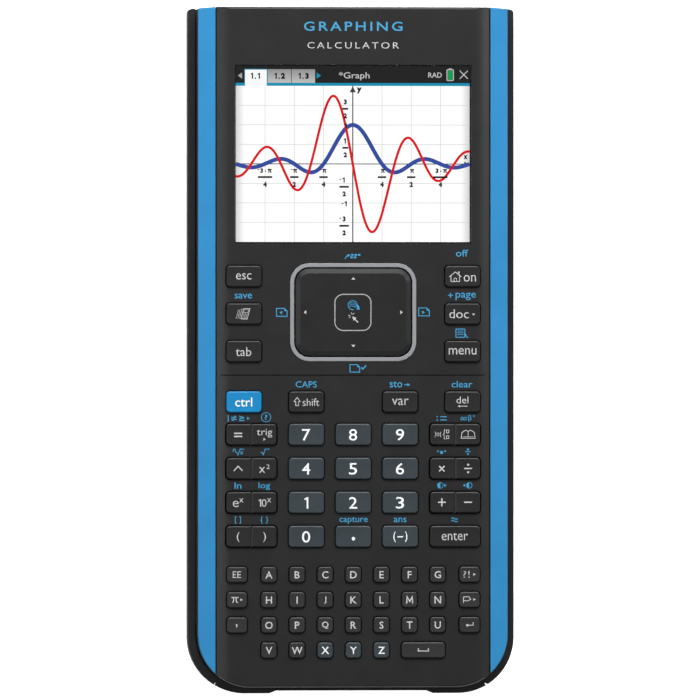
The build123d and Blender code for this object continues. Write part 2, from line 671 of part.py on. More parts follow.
# liquid crystal panel: rear glass with a slightly smaller front glass
LCD_BOTTOM_Z = LCD_TOP_Z - LCD_THICKNESS
with BuildPart() as lcd_panel:
    panel_width = DISPLAY_WIDTH + 2 * LCD_BORDER
    panel_height = DISPLAY_HEIGHT + 2 * LCD_BORDER
    block(0, DISPLAY_Y, panel_width, panel_height, LCD_BOTTOM_Z, LCD_TOP_Z - LCD_THICKNESS / 2)
    block(
        0, DISPLAY_Y + LCD_BORDER / 4, panel_width - 1, panel_height - LCD_BORDER / 2 - 1,
        LCD_TOP_Z - LCD_THICKNESS / 2, LCD_TOP_Z,
    )
lcd_panel.part.label = "lcd_panel"
export_step(lcd_panel.part, "parts/lcd_panel.step")

# backlight: a flat tray under the panel
with BuildPart() as backlight:
    block(
        0, DISPLAY_Y, DISPLAY_WIDTH + 2 * BACKLIGHT_BORDER, DISPLAY_HEIGHT + 2 * BACKLIGHT_BORDER,
        LCD_BOTTOM_Z - BACKLIGHT_THICKNESS, LCD_BOTTOM_Z,
    )
    fillet(backlight.edges().filter_by(Axis.Z), 1.0)
backlight.part.label = "backlight"
export_step(backlight.part, "parts/backlight.step")

# flexible cable from the panel's lower edge down to the board
FLEX_TOP_Y = DISPLAY_Y - DISPLAY_HEIGHT / 2 - LCD_BORDER
with BuildPart() as display_cable:
    with BuildSketch(Plane.YZ):
        with BuildLine():
            FilletPolyline(
                (FLEX_TOP_Y, LCD_BOTTOM_Z + FLEX_THICKNESS),
                (FLEX_TOP_Y - 0.7, LCD_BOTTOM_Z + FLEX_THICKNESS),
                (FLEX_TOP_Y - 0.7, BOARD_TOP_Z + FLEX_THICKNESS),
                (FLEX_TOP_Y - 0.7 - FLEX_LAP, BOARD_TOP_Z + FLEX_THICKNESS),
                radius=0.3,
            )
            offset(amount=FLEX_THICKNESS, side=Side.RIGHT)
        make_face()
    extrude(amount=FLEX_WIDTH / 2, both=True)
display_cable.part.label = "display_cable"
export_step(display_cable.part, "parts/display_cable.step")

# ---------------------------------------------------------------- build: touchpad
# trim ring set into the face
with BuildPart() as touchpad_ring:
    with BuildSketch(Plane.XY.offset(RING_BOTTOM_Z)):
        with Locations((0, PAD_Y)):
            RectangleRounded(RING_WIDTH, RING_HEIGHT, RING_CORNER)
            RectangleRounded(
                RING_WIDTH - 2 * RING_BAND,
                RING_HEIGHT - 2 * RING_BAND,
                RING_CORNER - RING_BAND,
                mode=Mode.SUBTRACT,
            )
    extrude(amount=RING_TOP_Z - RING_BOTTOM_Z)
    fillet(touchpad_ring.faces().sort_by(Axis.Z)[-1].edges(), RING_BAND / 6)
touchpad_ring.part.label = "touchpad_ring"
export_step(touchpad_ring.part, "parts/touchpad_ring.step")

# touch plate: bevelled rim, and two lugs that hang on the tilt frame's pins
LUG_Y = TILT_FRAME_HEIGHT / 2 + LUG_GAP + LUG_THICKNESS / 2
with BuildPart() as touchpad_plate:
    with BuildSketch(Plane.XY.offset(PAD_BOTTOM_Z)):
        with Locations((0, PAD_Y)):
            RectangleRounded(PAD_WIDTH, PAD_HEIGHT, PAD_CORNER)
    extrude(amount=PAD_TOP_Z - PAD_BOTTOM_Z)
    top_face = touchpad_plate.faces().sort_by(Axis.Z)[-1]
    chamfer(top_face.edges(), PAD_BEVEL_WIDTH, PAD_BEVEL_DROP, reference=top_face)
    for lug_side in (-1, 1):
        lug_y = PAD_Y + lug_side * LUG_Y
        block(0, lug_y, LUG_WIDTH, LUG_THICKNESS, GIMBAL_Z - LUG_MARGIN, PAD_BOTTOM_Z + 0.1)
        with Locations((0, lug_y, GIMBAL_Z)):
            Cylinder(GIMBAL_BORE_RADIUS, 2 * LUG_THICKNESS, rotation=(90, 0, 0), mode=Mode.SUBTRACT)
touchpad_plate.part.label = "touchpad_plate"
export_step(touchpad_plate.part, "parts/touchpad_plate.step")

# touch sensor board under the plate
with BuildPart() as touchpad_sensor:
    block(0, PAD_Y, SENSOR_WIDTH, SENSOR_HEIGHT, PAD_BOTTOM_Z - SENSOR_THICKNESS, PAD_BOTTOM_Z)
    fillet(touchpad_sensor.edges().filter_by(Axis.Z), 1.0)
touchpad_sensor.part.label = "touchpad_sensor"
export_step(touchpad_sensor.part, "parts/touchpad_sensor.step")

# tilt frame: pins along Y carry the plate, pins along X rest in the carrier
with BuildPart() as touchpad_tilt_frame:
    with BuildSketch(Plane.XY.offset(TILT_FRAME_BOTTOM_Z)):
        with Locations((0, PAD_Y)):
            Rectangle(TILT_FRAME_WIDTH, TILT_FRAME_HEIGHT)
            Rectangle(
                TILT_FRAME_WIDTH - 2 * TILT_FRAME_BAND,
                TILT_FRAME_HEIGHT - 2 * TILT_FRAME_BAND,
                mode=Mode.SUBTRACT,
            )
    extrude(amount=TILT_FRAME_TOP_Z - TILT_FRAME_BOTTOM_Z)
    frame_pin = TILT_FRAME_BAND / 2 + LUG_GAP + LUG_THICKNESS
    for pin_side in (-1, 1):
        pin_mid = (frame_pin - TILT_FRAME_BAND) / 2
        with Locations((0, PAD_Y + pin_side * (TILT_FRAME_HEIGHT / 2 + pin_mid), GIMBAL_Z)):
            Cylinder(GIMBAL_PIN_RADIUS, frame_pin, rotation=(90, 0, 0))
        with Locations((pin_side * (TILT_FRAME_WIDTH / 2 + pin_mid), PAD_Y, GIMBAL_Z)):
            Cylinder(GIMBAL_PIN_RADIUS, frame_pin, rotation=(0, 90, 0))
touchpad_tilt_frame.part.label = "touchpad_tilt_frame"
export_step(touchpad_tilt_frame.part, "parts/touchpad_tilt_frame.step")

# carrier: slides on two posts when the pad is clicked
CARRIER_LUG_X = TILT_FRAME_WIDTH / 2 + LUG_GAP + LUG_THICKNESS / 2
with BuildPart() as touchpad_carrier:
    block(
        0, PAD_Y, 2 * CARRIER_LUG_X + LUG_THICKNESS, CARRIER_HEIGHT, CARRIER_BOTTOM_Z, CARRIER_TOP_Z
    )
    block(0, PAD_Y, 2 * POST_X + 3, CARRIER_ARM_HEIGHT, CARRIER_BOTTOM_Z, CARRIER_TOP_Z)
    post(((-POST_X, PAD_Y), (POST_X, PAD_Y)), POST_BORE_RADIUS, 0, REACH, Mode.SUBTRACT)
    for lug_side in (-1, 1):
        lug_x = lug_side * CARRIER_LUG_X
        block(lug_x, PAD_Y, LUG_THICKNESS, LUG_WIDTH, CARRIER_TOP_Z - 0.1, GIMBAL_Z + LUG_MARGIN)
        with Locations((lug_x, PAD_Y, GIMBAL_Z)):
            Cylinder(GIMBAL_BORE_RADIUS, 2 * LUG_THICKNESS, rotation=(0, 90, 0), mode=Mode.SUBTRACT)
touchpad_carrier.part.label = "touchpad_carrier"
export_step(touchpad_carrier.part, "parts/touchpad_carrier.step")

# ---------------------------------------------------------------- build: board and mat
# main board with its processor, memory and power chips on the underside
BOARD_BOTTOM_Z = BOARD_TOP_Z - BOARD_THICKNESS
with BuildPart() as main_board:
    with BuildSketch(Plane.XY.offset(BOARD_BOTTOM_Z)):
        with Locations((0, (BOARD_TOP_Y + BOARD_BOTTOM_Y) / 2)):
            outline = Rectangle(2 * BOARD_HALF_WIDTH, BOARD_TOP_Y - BOARD_BOTTOM_Y)
        chamfer(outline.vertices().group_by(Axis.Y)[0], BOARD_CHAMFER)
    extrude(amount=BOARD_THICKNESS)
    for chip_x, chip_y, chip_size in ((-8, 45, 14), (12, 45, 10), (-14, 22, 8), (16, 20, 7)):
        block(chip_x, chip_y, chip_size, chip_size, BOARD_BOTTOM_Z - CHIP_HEIGHT, BOARD_BOTTOM_Z + 0.1)
    post(BOSSES, BOSS_RADIUS + 0.3, 0, REACH, Mode.SUBTRACT)
main_board.part.label = "main_board"
export_step(main_board.part, "parts/main_board.step")

# rubber keypad mat: one sheet with a dome under every cap and half cap
DOMES = [(x, y) for node, x, y, size in PRESSED]
DOMES += [(x + side * ROCKER_KEY[0] / 4, y) for _, x, y, _ in ROCKERS for side in (-1, 1)]
with BuildPart() as keypad_mat:
    with BuildSketch(Plane.XY.offset(BOARD_TOP_Z)):
        with Locations((0, (MAT_TOP_Y + BOARD_BOTTOM_Y + 1) / 2)):
            mat = Rectangle(2 * MAT_HALF_WIDTH, MAT_TOP_Y - BOARD_BOTTOM_Y - 1)
        chamfer(mat.vertices().group_by(Axis.Y)[0], BOARD_CHAMFER)
        with Locations((0, PAD_Y + 1)):
            Rectangle(2 * POST_X + 5, RING_HEIGHT + 3, mode=Mode.SUBTRACT)
    extrude(amount=MAT_TOP_Z - BOARD_TOP_Z)
    post(DOMES, DOME_RADIUS, MAT_TOP_Z - 0.1, DOME_TOP_Z)
    post(BOSSES, BOSS_RADIUS + 0.4, 0, REACH, Mode.SUBTRACT)
keypad_mat.part.label = "keypad_mat"
export_step(keypad_mat.part, "parts/keypad_mat.step")

# ---------------------------------------------------------------- build: battery and its door
with BuildPart() as battery_pack:
    block(
        0, BATTERY_Y, BATTERY_WIDTH, BATTERY_LENGTH, BATTERY_BOTTOM_Z, BATTERY_BOTTOM_Z + BATTERY_THICKNESS
    )
    fillet(battery_pack.edges().filter_by(Axis.Z), 1.5)
    fillet(battery_pack.faces().sort_by(Axis.Z)[-1].edges(), 0.6)
battery_pack.part.label = "battery_pack"
export_step(battery_pack.part, "parts/battery_pack.step")

with BuildPart() as battery_door:
    block(
        0, (DOOR_TOP_Y + DOOR_BOTTOM_Y) / 2, BATTERY_WIDTH + 2 * DOOR_MARGIN, DOOR_TOP_Y - DOOR_BOTTOM_Y,
        REAR_Z, REAR_Z + DOOR_THICKNESS - 0.05,
    )
    post(DOOR_SCREWS, SCREW_RADIUS + SCREW_CLEARANCE, 0, REACH, Mode.SUBTRACT)
    post(DOOR_SCREWS, SCREW_HEAD_RADIUS + 0.1, 0, REAR_Z + DOOR_THICKNESS / 2, Mode.SUBTRACT)
    fillet(battery_door.edges().filter_by(Axis.Z).group_by(SortBy.LENGTH)[-1], 1.0)
battery_door.part.label = "battery_door"
export_step(battery_door.part, "parts/battery_door.step")

# ---------------------------------------------------------------- build: fasteners and feet
for screw_node, places, head_top_z, head_height, tip_z in (
    ("case_screws", BOSSES, SCREW_HEAD_BOTTOM_Z + SCREW_HEAD_HEIGHT, SCREW_HEAD_HEIGHT, CASE_SCREW_TIP_Z),
    ("battery_door_screws", DOOR_SCREWS, REAR_Z + DOOR_THICKNESS / 2, DOOR_THICKNESS / 2, DOOR_SCREW_TIP_Z),
):
    with BuildPart() as screws:
        post(places, SCREW_HEAD_RADIUS, head_top_z - head_height, head_top_z)
        post(places, SCREW_RADIUS, head_top_z - 0.1, tip_z)
        with BuildSketch(Plane.XY.offset(head_top_z - head_height)):
            with Locations(*places):
                RegularPolygon(SCREW_SOCKET_RADIUS, 6)
        extrude(amount=min(SCREW_SOCKET_DEPTH, head_height * 0.7), mode=Mode.SUBTRACT)
    screws.part.label = screw_node
    export_step(screws.part, f"parts/{screw_node}.step")

with BuildPart() as rear_feet:
    for foot_x, foot_y in FEET:
        block(foot_x, foot_y, FOOT_WIDTH, FOOT_LENGTH, FOOT_BOTTOM_Z, REAR_Z + FOOT_RECESS - 0.02)
    fillet(rear_feet.edges().filter_by(Axis.Z), 1.0)
rear_feet.part.label = "rear_feet"
export_step(rear_feet.part, "parts/rear_feet.step")

# ---------------------------------------------------------------- build: sockets and light
# socket shell at the display end, open outwards, with its contact tongue
with BuildPart() as usb_socket:
    usb_mid_y = TOP_Y - 0.5 - USB_DEPTH / 2
    with Locations((0, usb_mid_y, USB_Z)):
        Box(USB_WIDTH, USB_DEPTH, USB_HEIGHT)
    with Locations((0, usb_mid_y + USB_SHELL, USB_Z)):
        Box(USB_WIDTH - 2 * USB_SHELL, USB_DEPTH, USB_HEIGHT - 2 * USB_SHELL, mode=Mode.SUBTRACT)
    with Locations((0, usb_mid_y - USB_SHELL, USB_Z)):
        Box(USB_TONGUE_WIDTH, USB_DEPTH - 2 * USB_SHELL, USB_TONGUE_HEIGHT)
usb_socket.part.label = "usb_socket"
export_step(usb_socket.part, "parts/usb_socket.step")

# recessed contact block in the closed end
with BuildPart() as dock_connector:
    with Locations((0, DOCK_BACK_Y - DOCK_DEPTH / 2, DOCK_Z)):
        Box(DOCK_WIDTH, DOCK_DEPTH, DOCK_HEIGHT)
    with Locations((0, DOCK_BACK_Y - DOCK_DEPTH, DOCK_Z)):
        Box(DOCK_WIDTH - 2, 1.6, DOCK_HEIGHT - 1.2, mode=Mode.SUBTRACT)
    with Locations((0, DOCK_BACK_Y - DOCK_DEPTH + 0.8, DOCK_Z)):
        with GridLocations(DOCK_CONTACT_PITCH, 1, DOCK_CONTACTS, 1):
            Box(1.2, 0.9, 1.2)
dock_connector.part.label = "dock_connector"
export_step(dock_connector.part, "parts/dock_connector.step")

# clear rod that shows the status light at the display end
with BuildPart() as status_light_pipe:
    with Locations((LIGHT_X, TOP_Y - 0.1 - LIGHT_LENGTH / 2, LIGHT_Z)):
        Cylinder(LIGHT_RADIUS, LIGHT_LENGTH, rotation=(90, 0, 0))
status_light_pipe.part.label = "status_light_pipe"
export_step(status_light_pipe.part, "parts/status_light_pipe.step")
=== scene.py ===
import json
import math

import bmesh
import bpy
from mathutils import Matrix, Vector
from mathutils.bvhtree import BVHTree


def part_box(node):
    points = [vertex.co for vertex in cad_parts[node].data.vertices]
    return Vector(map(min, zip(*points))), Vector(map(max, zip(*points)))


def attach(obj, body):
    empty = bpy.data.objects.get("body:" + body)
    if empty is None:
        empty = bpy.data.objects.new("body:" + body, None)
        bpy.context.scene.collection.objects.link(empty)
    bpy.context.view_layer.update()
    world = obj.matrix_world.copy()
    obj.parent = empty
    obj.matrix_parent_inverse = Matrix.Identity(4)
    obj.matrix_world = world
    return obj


# Looks of a graphing calculator lying on its back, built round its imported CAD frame.
# Lengths in this script are millimetres in the shared frame, times MM where Blender needs metres.

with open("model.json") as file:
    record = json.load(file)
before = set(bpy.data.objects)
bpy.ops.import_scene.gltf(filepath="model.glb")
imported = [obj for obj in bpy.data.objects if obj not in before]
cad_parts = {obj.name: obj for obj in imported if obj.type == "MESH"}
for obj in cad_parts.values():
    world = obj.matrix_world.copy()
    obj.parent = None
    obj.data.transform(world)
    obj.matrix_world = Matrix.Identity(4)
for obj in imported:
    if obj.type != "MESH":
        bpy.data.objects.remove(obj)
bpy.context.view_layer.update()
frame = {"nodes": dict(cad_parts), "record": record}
NODES = frame["nodes"]
MM = 0.001
FACE_BODY = "handheld"
CAP_GAP = 0.5
ABOVE_ALL = 100.0
TREES = {}


# ------------------------------------------------------------------ places, from the frame
def span(node):
    """Lowest and highest corner of a CAD node, in millimetres."""
    low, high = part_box(node)
    return low / MM, high / MM


def middle(node):
    """Middle of a CAD node in plan, in millimetres."""
    low, high = span(node)
    return (low.x + high.x) / 2, (low.y + high.y) / 2


def cap_middles(node):
    """Middles in plan of a node's separate caps, from left to right."""
    y = middle(node)[1]
    xs = sorted({round(v.co.x / MM, 2) for v in NODES[node].data.vertices})
    gaps = [(a, b) for a, b in zip(xs, xs[1:]) if b - a > CAP_GAP and surface(node, (a + b) / 2, y) is None]
    starts = [xs[0]] + [b for _, b in gaps]
    ends = [a for a, _ in gaps] + [xs[-1]]
    return [((a + b) / 2, y) for a, b in zip(starts, ends)]


def surface(node, x, y):
    """Height of a CAD node's upper surface at a place in plan, in millimetres, or None beside it."""
    if node not in TREES:
        mesh = NODES[node].data
        points = [v.co / MM for v in mesh.vertices]
        TREES[node] = BVHTree.FromPolygons(points, [p.vertices[:] for p in mesh.polygons])
    hit = TREES[node].ray_cast(Vector((x, y, ABOVE_ALL)), Vector((0, 0, -1)))[0]
    return None if hit is None else hit.z


# ------------------------------------------------------------------ procedural materials
WALL_ROUGHNESS = 0.85
COAT_ROUGHNESS = 0.25
KEY_ROUGHNESS = 0.34


def new_material(name):
    """A new node material, with its node tree and its Principled shader."""
    made = bpy.data.materials.new(name)
    made.use_nodes = True
    tree = made.node_tree
    shader = tree.nodes["Principled BSDF"]
    return made, tree, shader


def noise(tree, coordinates, grain, detail=2.0, roughness=0.5):
    """Noise texture whose features are about grain millimetres across."""
    node = tree.nodes.new("ShaderNodeTexNoise")
    node.inputs["Scale"].default_value = 1.0 / (grain * MM)
    node.inputs["Detail"].default_value = detail
    node.inputs["Roughness"].default_value = roughness
    tree.links.new(coordinates, node.inputs["Vector"])
    return node.outputs["Fac"]


def remap(tree, value, low, high, start=0.3, end=0.7):
    """Stretches a noise value from start..end to low..high."""
    node = tree.nodes.new("ShaderNodeMapRange")
    node.inputs["From Min"].default_value = start
    node.inputs["From Max"].default_value = end
    node.inputs["To Min"].default_value = low
    node.inputs["To Max"].default_value = high
    tree.links.new(value, node.inputs["Value"])
    return node.outputs["Result"]


def blend_colours(tree, factor, first, second):
    """Mix of two colours by a factor."""
    node = tree.nodes.new("ShaderNodeMix")
    node.data_type = "RGBA"
    node.inputs["A"].default_value = (*first, 1.0)
    node.inputs["B"].default_value = (*second, 1.0)
    tree.links.new(factor, node.inputs["Factor"])
    return node.outputs["Result"]


def bump(tree, shader, height, strength, depth):
    """Surface relief of depth millimetres."""
    node = tree.nodes.new("ShaderNodeBump")
    node.inputs["Strength"].default_value = strength
    node.inputs["Distance"].default_value = depth * MM
    tree.links.new(height, node.inputs["Height"])
    tree.links.new(node.outputs["Normal"], shader.inputs["Normal"])


def position(tree):
    """Object coordinates, in metres of the shared frame."""
    return tree.nodes.new("ShaderNodeTexCoord").outputs["Object"]


def looks_up(tree):
    """One on faces that look up, nought on upright faces."""
    facing = tree.nodes.new("ShaderNodeSeparateXYZ")
    tree.links.new(tree.nodes.new("ShaderNodeNewGeometry").outputs["Normal"], facing.inputs["Vector"])
    return remap(tree, facing.outputs["Z"], 0.0, 1.0, 0.30, 0.80)


def with_painted_wall_shade(tree, kind, value, wall_shade_value):
    """The value, a colour or a number, on faces that look up, and the wall value on upright faces; a darker
    wall colour is painted shade.
    """
    node = tree.nodes.new("ShaderNodeMix")
    node.data_type = kind
    node.inputs["A"].default_value = wall_shade_value
    tree.links.new(looks_up(tree), node.inputs["Factor"])
    tree.links.new(value, node.inputs["B"])
    return node.outputs["Result"]


def plastic(name, colour, rough, grain=0.22, depth=0.012, spread=0.10, coat=0.0, specular=0.5, wall_shade=None):
    """Moulded plastic: spark-eroded grain, faint flow mottling and slightly uneven gloss.

    With wall_shade given, faces that stand upright are matt and have that share of the colour, which is
    painted shade: the sides are darkened as if little light reached them.
    """
    made, tree, shader = new_material(name)
    where = position(tree)
    fine = noise(tree, where, grain, 3.0, 0.6)
    broad = noise(tree, where, 9.0, 2.0)
    darker = [c * (1 - spread) for c in colour]
    lighter = [min(c * (1 + spread), 1.0) for c in colour]
    mottled = blend_colours(tree, remap(tree, broad, 0.0, 1.0), darker, lighter)
    gloss = remap(tree, fine, rough - 0.05, rough + 0.06)
    # Painted shade: upright faces get a darker share of the colour, as if they lay in shadow.
    if wall_shade is not None:
        mottled = with_painted_wall_shade(tree, "RGBA", mottled, (*(c * wall_shade for c in colour), 1.0))
        gloss = with_painted_wall_shade(tree, "FLOAT", gloss, WALL_ROUGHNESS)
    tree.links.new(mottled, shader.inputs["Base Color"])
    tree.links.new(gloss, shader.inputs["Roughness"])
    shader.inputs["Coat Weight"].default_value = coat
    shader.inputs["Coat Roughness"].default_value = COAT_ROUGHNESS
    shader.inputs["Specular IOR Level"].default_value = specular
    bump(tree, shader, fine, 0.5, depth)
    return made


def metal(name, colour, rough, brushed=(1.0, 1.0, 1.0), scratch=0.15):
    """Metal with fine brushed or sanded scratches and uneven gloss."""
    made, tree, shader = new_material(name)
    stretch = tree.nodes.new("ShaderNodeMapping")
    stretch.inputs["Scale"].default_value = brushed
    tree.links.new(position(tree), stretch.inputs["Vector"])
    grain = noise(tree, stretch.outputs["Vector"], scratch, 4.0, 0.65)
    darker = [c * 0.88 for c in colour]
    shown = blend_colours(tree, remap(tree, grain, 0.0, 1.0), darker, colour)
    tree.links.new(shown, shader.inputs["Base Color"])
    tree.links.new(remap(tree, grain, rough - 0.06, rough + 0.08), shader.inputs["Roughness"])
    shader.inputs["Metallic"].default_value = 1.0
    bump(tree, shader, grain, 0.35, 0.006)
    return made


def ink_material(name, colour):
    """Printed ink: slightly uneven coverage and a satin surface."""
    made, tree, shader = new_material(name)
    where = position(tree)
    specks = noise(tree, where, 0.12, 3.0, 0.6)
    thin = [c * 0.90 for c in colour]
    shown = blend_colours(tree, remap(tree, specks, 0.0, 1.0), thin, colour)
    tree.links.new(shown, shader.inputs["Base Color"])
    tree.links.new(remap(tree, specks, 0.42, 0.58), shader.inputs["Roughness"])
    bump(tree, shader, specks, 0.2, 0.004)
    return made


def lit(name, colour, strength=1.0, fade=None):
    """A lit area of the display.

    With fade, which is (axis, start, end, gray, share), it turns to a gray by that share between two
    distances in millimetres from the object's middle along an axis.
    """
    made, tree, shader = new_material(name)
    shader.inputs["Base Color"].default_value = (0.0, 0.0, 0.0, 1.0)
    shader.inputs["Roughness"].default_value = 0.6
    shader.inputs["Specular IOR Level"].default_value = 0.0
    shader.inputs["Emission Strength"].default_value = strength
    where = position(tree)
    dim = [c * 0.985 for c in colour]
    shown = blend_colours(tree, remap(tree, noise(tree, where, 14.0, 1.0), 0.0, 1.0), dim, colour)
    if fade:
        axis, start, end, gray, share = fade
        apart = tree.nodes.new("ShaderNodeSeparateXYZ")
        tree.links.new(where, apart.inputs["Vector"])
        distance = tree.nodes.new("ShaderNodeMath")
        distance.operation = "ABSOLUTE"
        tree.links.new(apart.outputs[axis], distance.inputs[0])
        shade = tree.nodes.new("ShaderNodeMix")
        shade.data_type = "RGBA"
        shade.inputs["B"].default_value = (gray, gray, gray, 1.0)
        factor = remap(tree, distance.outputs[0], 0.0, share, start * MM, end * MM)
        tree.links.new(factor, shade.inputs["Factor"])
        tree.links.new(shown, shade.inputs["A"])
        shown = shade.outputs["Result"]
    tree.links.new(shown, shader.inputs["Emission Color"])
    return made


def clear(name, tint, rough, ior=1.49):
    """Clear moulded or hard-coated plastic with very faint waviness."""
    made, tree, shader = new_material(name)
    where = position(tree)
    wave = noise(tree, where, 6.0, 1.0)
    tree.links.new(blend_colours(tree, wave, [c * 0.98 for c in tint], tint), shader.inputs["Base Color"])
    tree.links.new(remap(tree, wave, rough, rough + 0.02), shader.inputs["Roughness"])
    shader.inputs["Transmission Weight"].default_value = 1.0
    shader.inputs["IOR"].default_value = ior
    bump(tree, shader, wave, 0.05, 0.002)
    return made


def circuit_board(name):
    """Green solder resist over copper traces, which show as raised lighter lines."""
    made, tree, shader = new_material(name)
    where = position(tree)
    bricks = tree.nodes.new("ShaderNodeTexBrick")
    bricks.inputs["Scale"].default_value = 1.0 / (4.0 * MM)
    bricks.inputs["Mortar Size"].default_value = 0.05
    bricks.inputs["Color1"].default_value = (0.010, 0.105, 0.045, 1.0)
    bricks.inputs["Color2"].default_value = (0.012, 0.120, 0.052, 1.0)
    bricks.inputs["Mortar"].default_value = (0.035, 0.230, 0.090, 1.0)
    tree.links.new(where, bricks.inputs["Vector"])
    tree.links.new(bricks.outputs["Color"], shader.inputs["Base Color"])
    tree.links.new(remap(tree, noise(tree, where, 1.5), 0.28, 0.42), shader.inputs["Roughness"])
    bump(tree, shader, bricks.outputs["Fac"], 0.4, 0.03)
    return made


def key_plastic(name, colour, specular=0.30):
    """Smooth moulded plastic of a key cap."""
    return plastic(name, colour, KEY_ROUGHNESS, grain=0.15, depth=0.006, specular=specular)


CASE = plastic("case_plastic", (0.0148, 0.0148, 0.0150), 0.36, specular=0.25)
# The cover's upright faces carry painted shade at 0.7 of its colour.
COVER = plastic("cover_plastic", (0.0150, 0.0154, 0.0158), 0.40, grain=0.30, specular=0.25, wall_shade=0.7)
KEY = key_plastic("dark_key_plastic", (0.0135, 0.0135, 0.0137), 0.32)
LETTER_KEY = key_plastic("letter_key_plastic", (0.0240, 0.0240, 0.0242), 0.32)
SLATE = key_plastic("slate_key_plastic", (0.033, 0.043, 0.050))
BLUE_KEY = key_plastic("blue_key_plastic", (0.005, 0.208, 0.465))
# The rail's upright sides carry painted shade, nearly black, standing in for the shadow along the rail's
# side.
RAIL = plastic(
    "rail_blue", (0.031, 0.220, 0.462), 0.34,
    grain=0.10, depth=0.003, spread=0.04, specular=0.10, wall_shade=0.04,
)
# The ring's upright faces carry painted shade at 0.12 of its colour.
RING = plastic(
    "ring_silver_paint", (0.246, 0.252, 0.266), 0.40,
    grain=0.06, depth=0.004, spread=0.03, specular=0.30, wall_shade=0.12,
)
PAD = plastic("pad_plastic", (0.0184, 0.0184, 0.0186), 0.34, grain=0.12, depth=0.003, specular=0.14)
MAT = plastic("silicone_mat", (0.020, 0.020, 0.021), 0.62, grain=0.4, depth=0.02)
RUBBER = plastic("rubber_feet", (0.014, 0.014, 0.014), 0.78, grain=0.18, depth=0.03)
BATTERY = plastic("battery_wrap", (0.045, 0.048, 0.055), 0.33, grain=2.0, depth=0.08, coat=0.4)
FILM = plastic("cable_film", (0.36, 0.17, 0.035), 0.30, grain=1.2, depth=0.02, coat=0.3)
STEEL = metal("stamped_steel", (0.56, 0.56, 0.57), 0.34, brushed=(1.0, 12.0, 1.0))
SCREW = metal("blackened_screw", (0.16, 0.16, 0.17), 0.38)
NICKEL = metal("nickel_shell", (0.66, 0.65, 0.62), 0.22, brushed=(8.0, 1.0, 8.0))
DOCK = plastic("dock_plastic", (0.015, 0.015, 0.016), 0.35, grain=0.2, depth=0.01)
BOARD = circuit_board("solder_resist")
PANEL = plastic("panel_border", (0.006, 0.006, 0.007), 0.25, grain=1.0, depth=0.004)
WINDOW = clear("window_plastic", (0.985, 0.99, 0.99), 0.02, ior=1.30)
LIGHT_PIPE = clear("light_pipe_plastic", (0.92, 0.95, 0.95), 0.12)

MATERIAL_NODES = (
    (CASE, ("front_case", "rear_case", "battery_door")),
    (COVER, ("slide_cover",)),
    (RAIL, ("left_side_rail", "right_side_rail")),
    (WINDOW, ("display_window",)),
    (PANEL, ("lcd_panel",)),
    (STEEL, ("backlight",)),
    (FILM, ("display_cable",)),
    (RING, ("touchpad_ring",)),
    (PAD, ("touchpad_plate",)),
    (BOARD, ("touchpad_sensor", "main_board")),
    (DOCK, ("touchpad_tilt_frame", "touchpad_carrier", "dock_connector")),
    (MAT, ("keypad_mat",)),
    (BATTERY, ("battery_pack",)),
    (SCREW, ("battery_door_screws", "case_screws")),
    (RUBBER, ("rear_feet",)),
    (NICKEL, ("usb_socket",)),
    (LIGHT_PIPE, ("status_light_pipe",)),
    (BLUE_KEY, ("control_key",)),
    (SLATE, ("letter_x_y_z_keys", "decimal_point_key", "negative_sign_key")),
    (LETTER_KEY, (
        "letter_row_1_keys", "letter_row_2_keys", "letter_row_3_keys",
        "letter_v_w_keys", "space_key",
    )),
)
NODE_MATERIALS = {node: made for made, nodes in MATERIAL_NODES for node in nodes}


def dress_cad_nodes():
    """Gives every CAD node its material; keys not named are dark, and digits are slate."""
    for node, piece in NODES.items():
        made = NODE_MATERIALS.get(node, SLATE if node.startswith("digit") else KEY)
        piece.data.materials.clear()
        piece.data.materials.append(made)


# ------------------------------------------------------------------ printed shapes
# A sheet's top lies INK_LIFT above its surface. Each later shape of a sheet lies INK_STEP higher, so that
# shapes which overlap never share a plane.
INK_LIFT = 0.012
INK_THICKNESS = 0.02
INK_STEP = 0.0004
MERGE = 1e-5
SHARPEST_CORNER = 0.4

# How much a letter's outline is grown, as a share of the font's size.
THIN = -0.005
PLAIN = 0.004
HEAVY = 0.010


def glyph_triangles(words, weight, spacing):
    """Points and faces of words in the built-in font, one unit high from line to line."""
    curve = bpy.data.curves.new("words", "FONT")
    curve.body = words
    curve.size = 1.0
    curve.resolution_u = 3
    curve.offset = weight
    curve.space_character = spacing
    holder = bpy.data.objects.new("words", curve)
    bpy.context.scene.collection.objects.link(holder)
    bpy.context.view_layer.update()
    mesh = bpy.data.meshes.new_from_object(holder)
    points = [(v.co.x, v.co.y) for v in mesh.vertices]
    faces = [p.vertices[:] for p in mesh.polygons]
    bpy.data.objects.remove(holder)
    bpy.data.curves.remove(curve)
    bpy.data.meshes.remove(mesh)
    return points, faces


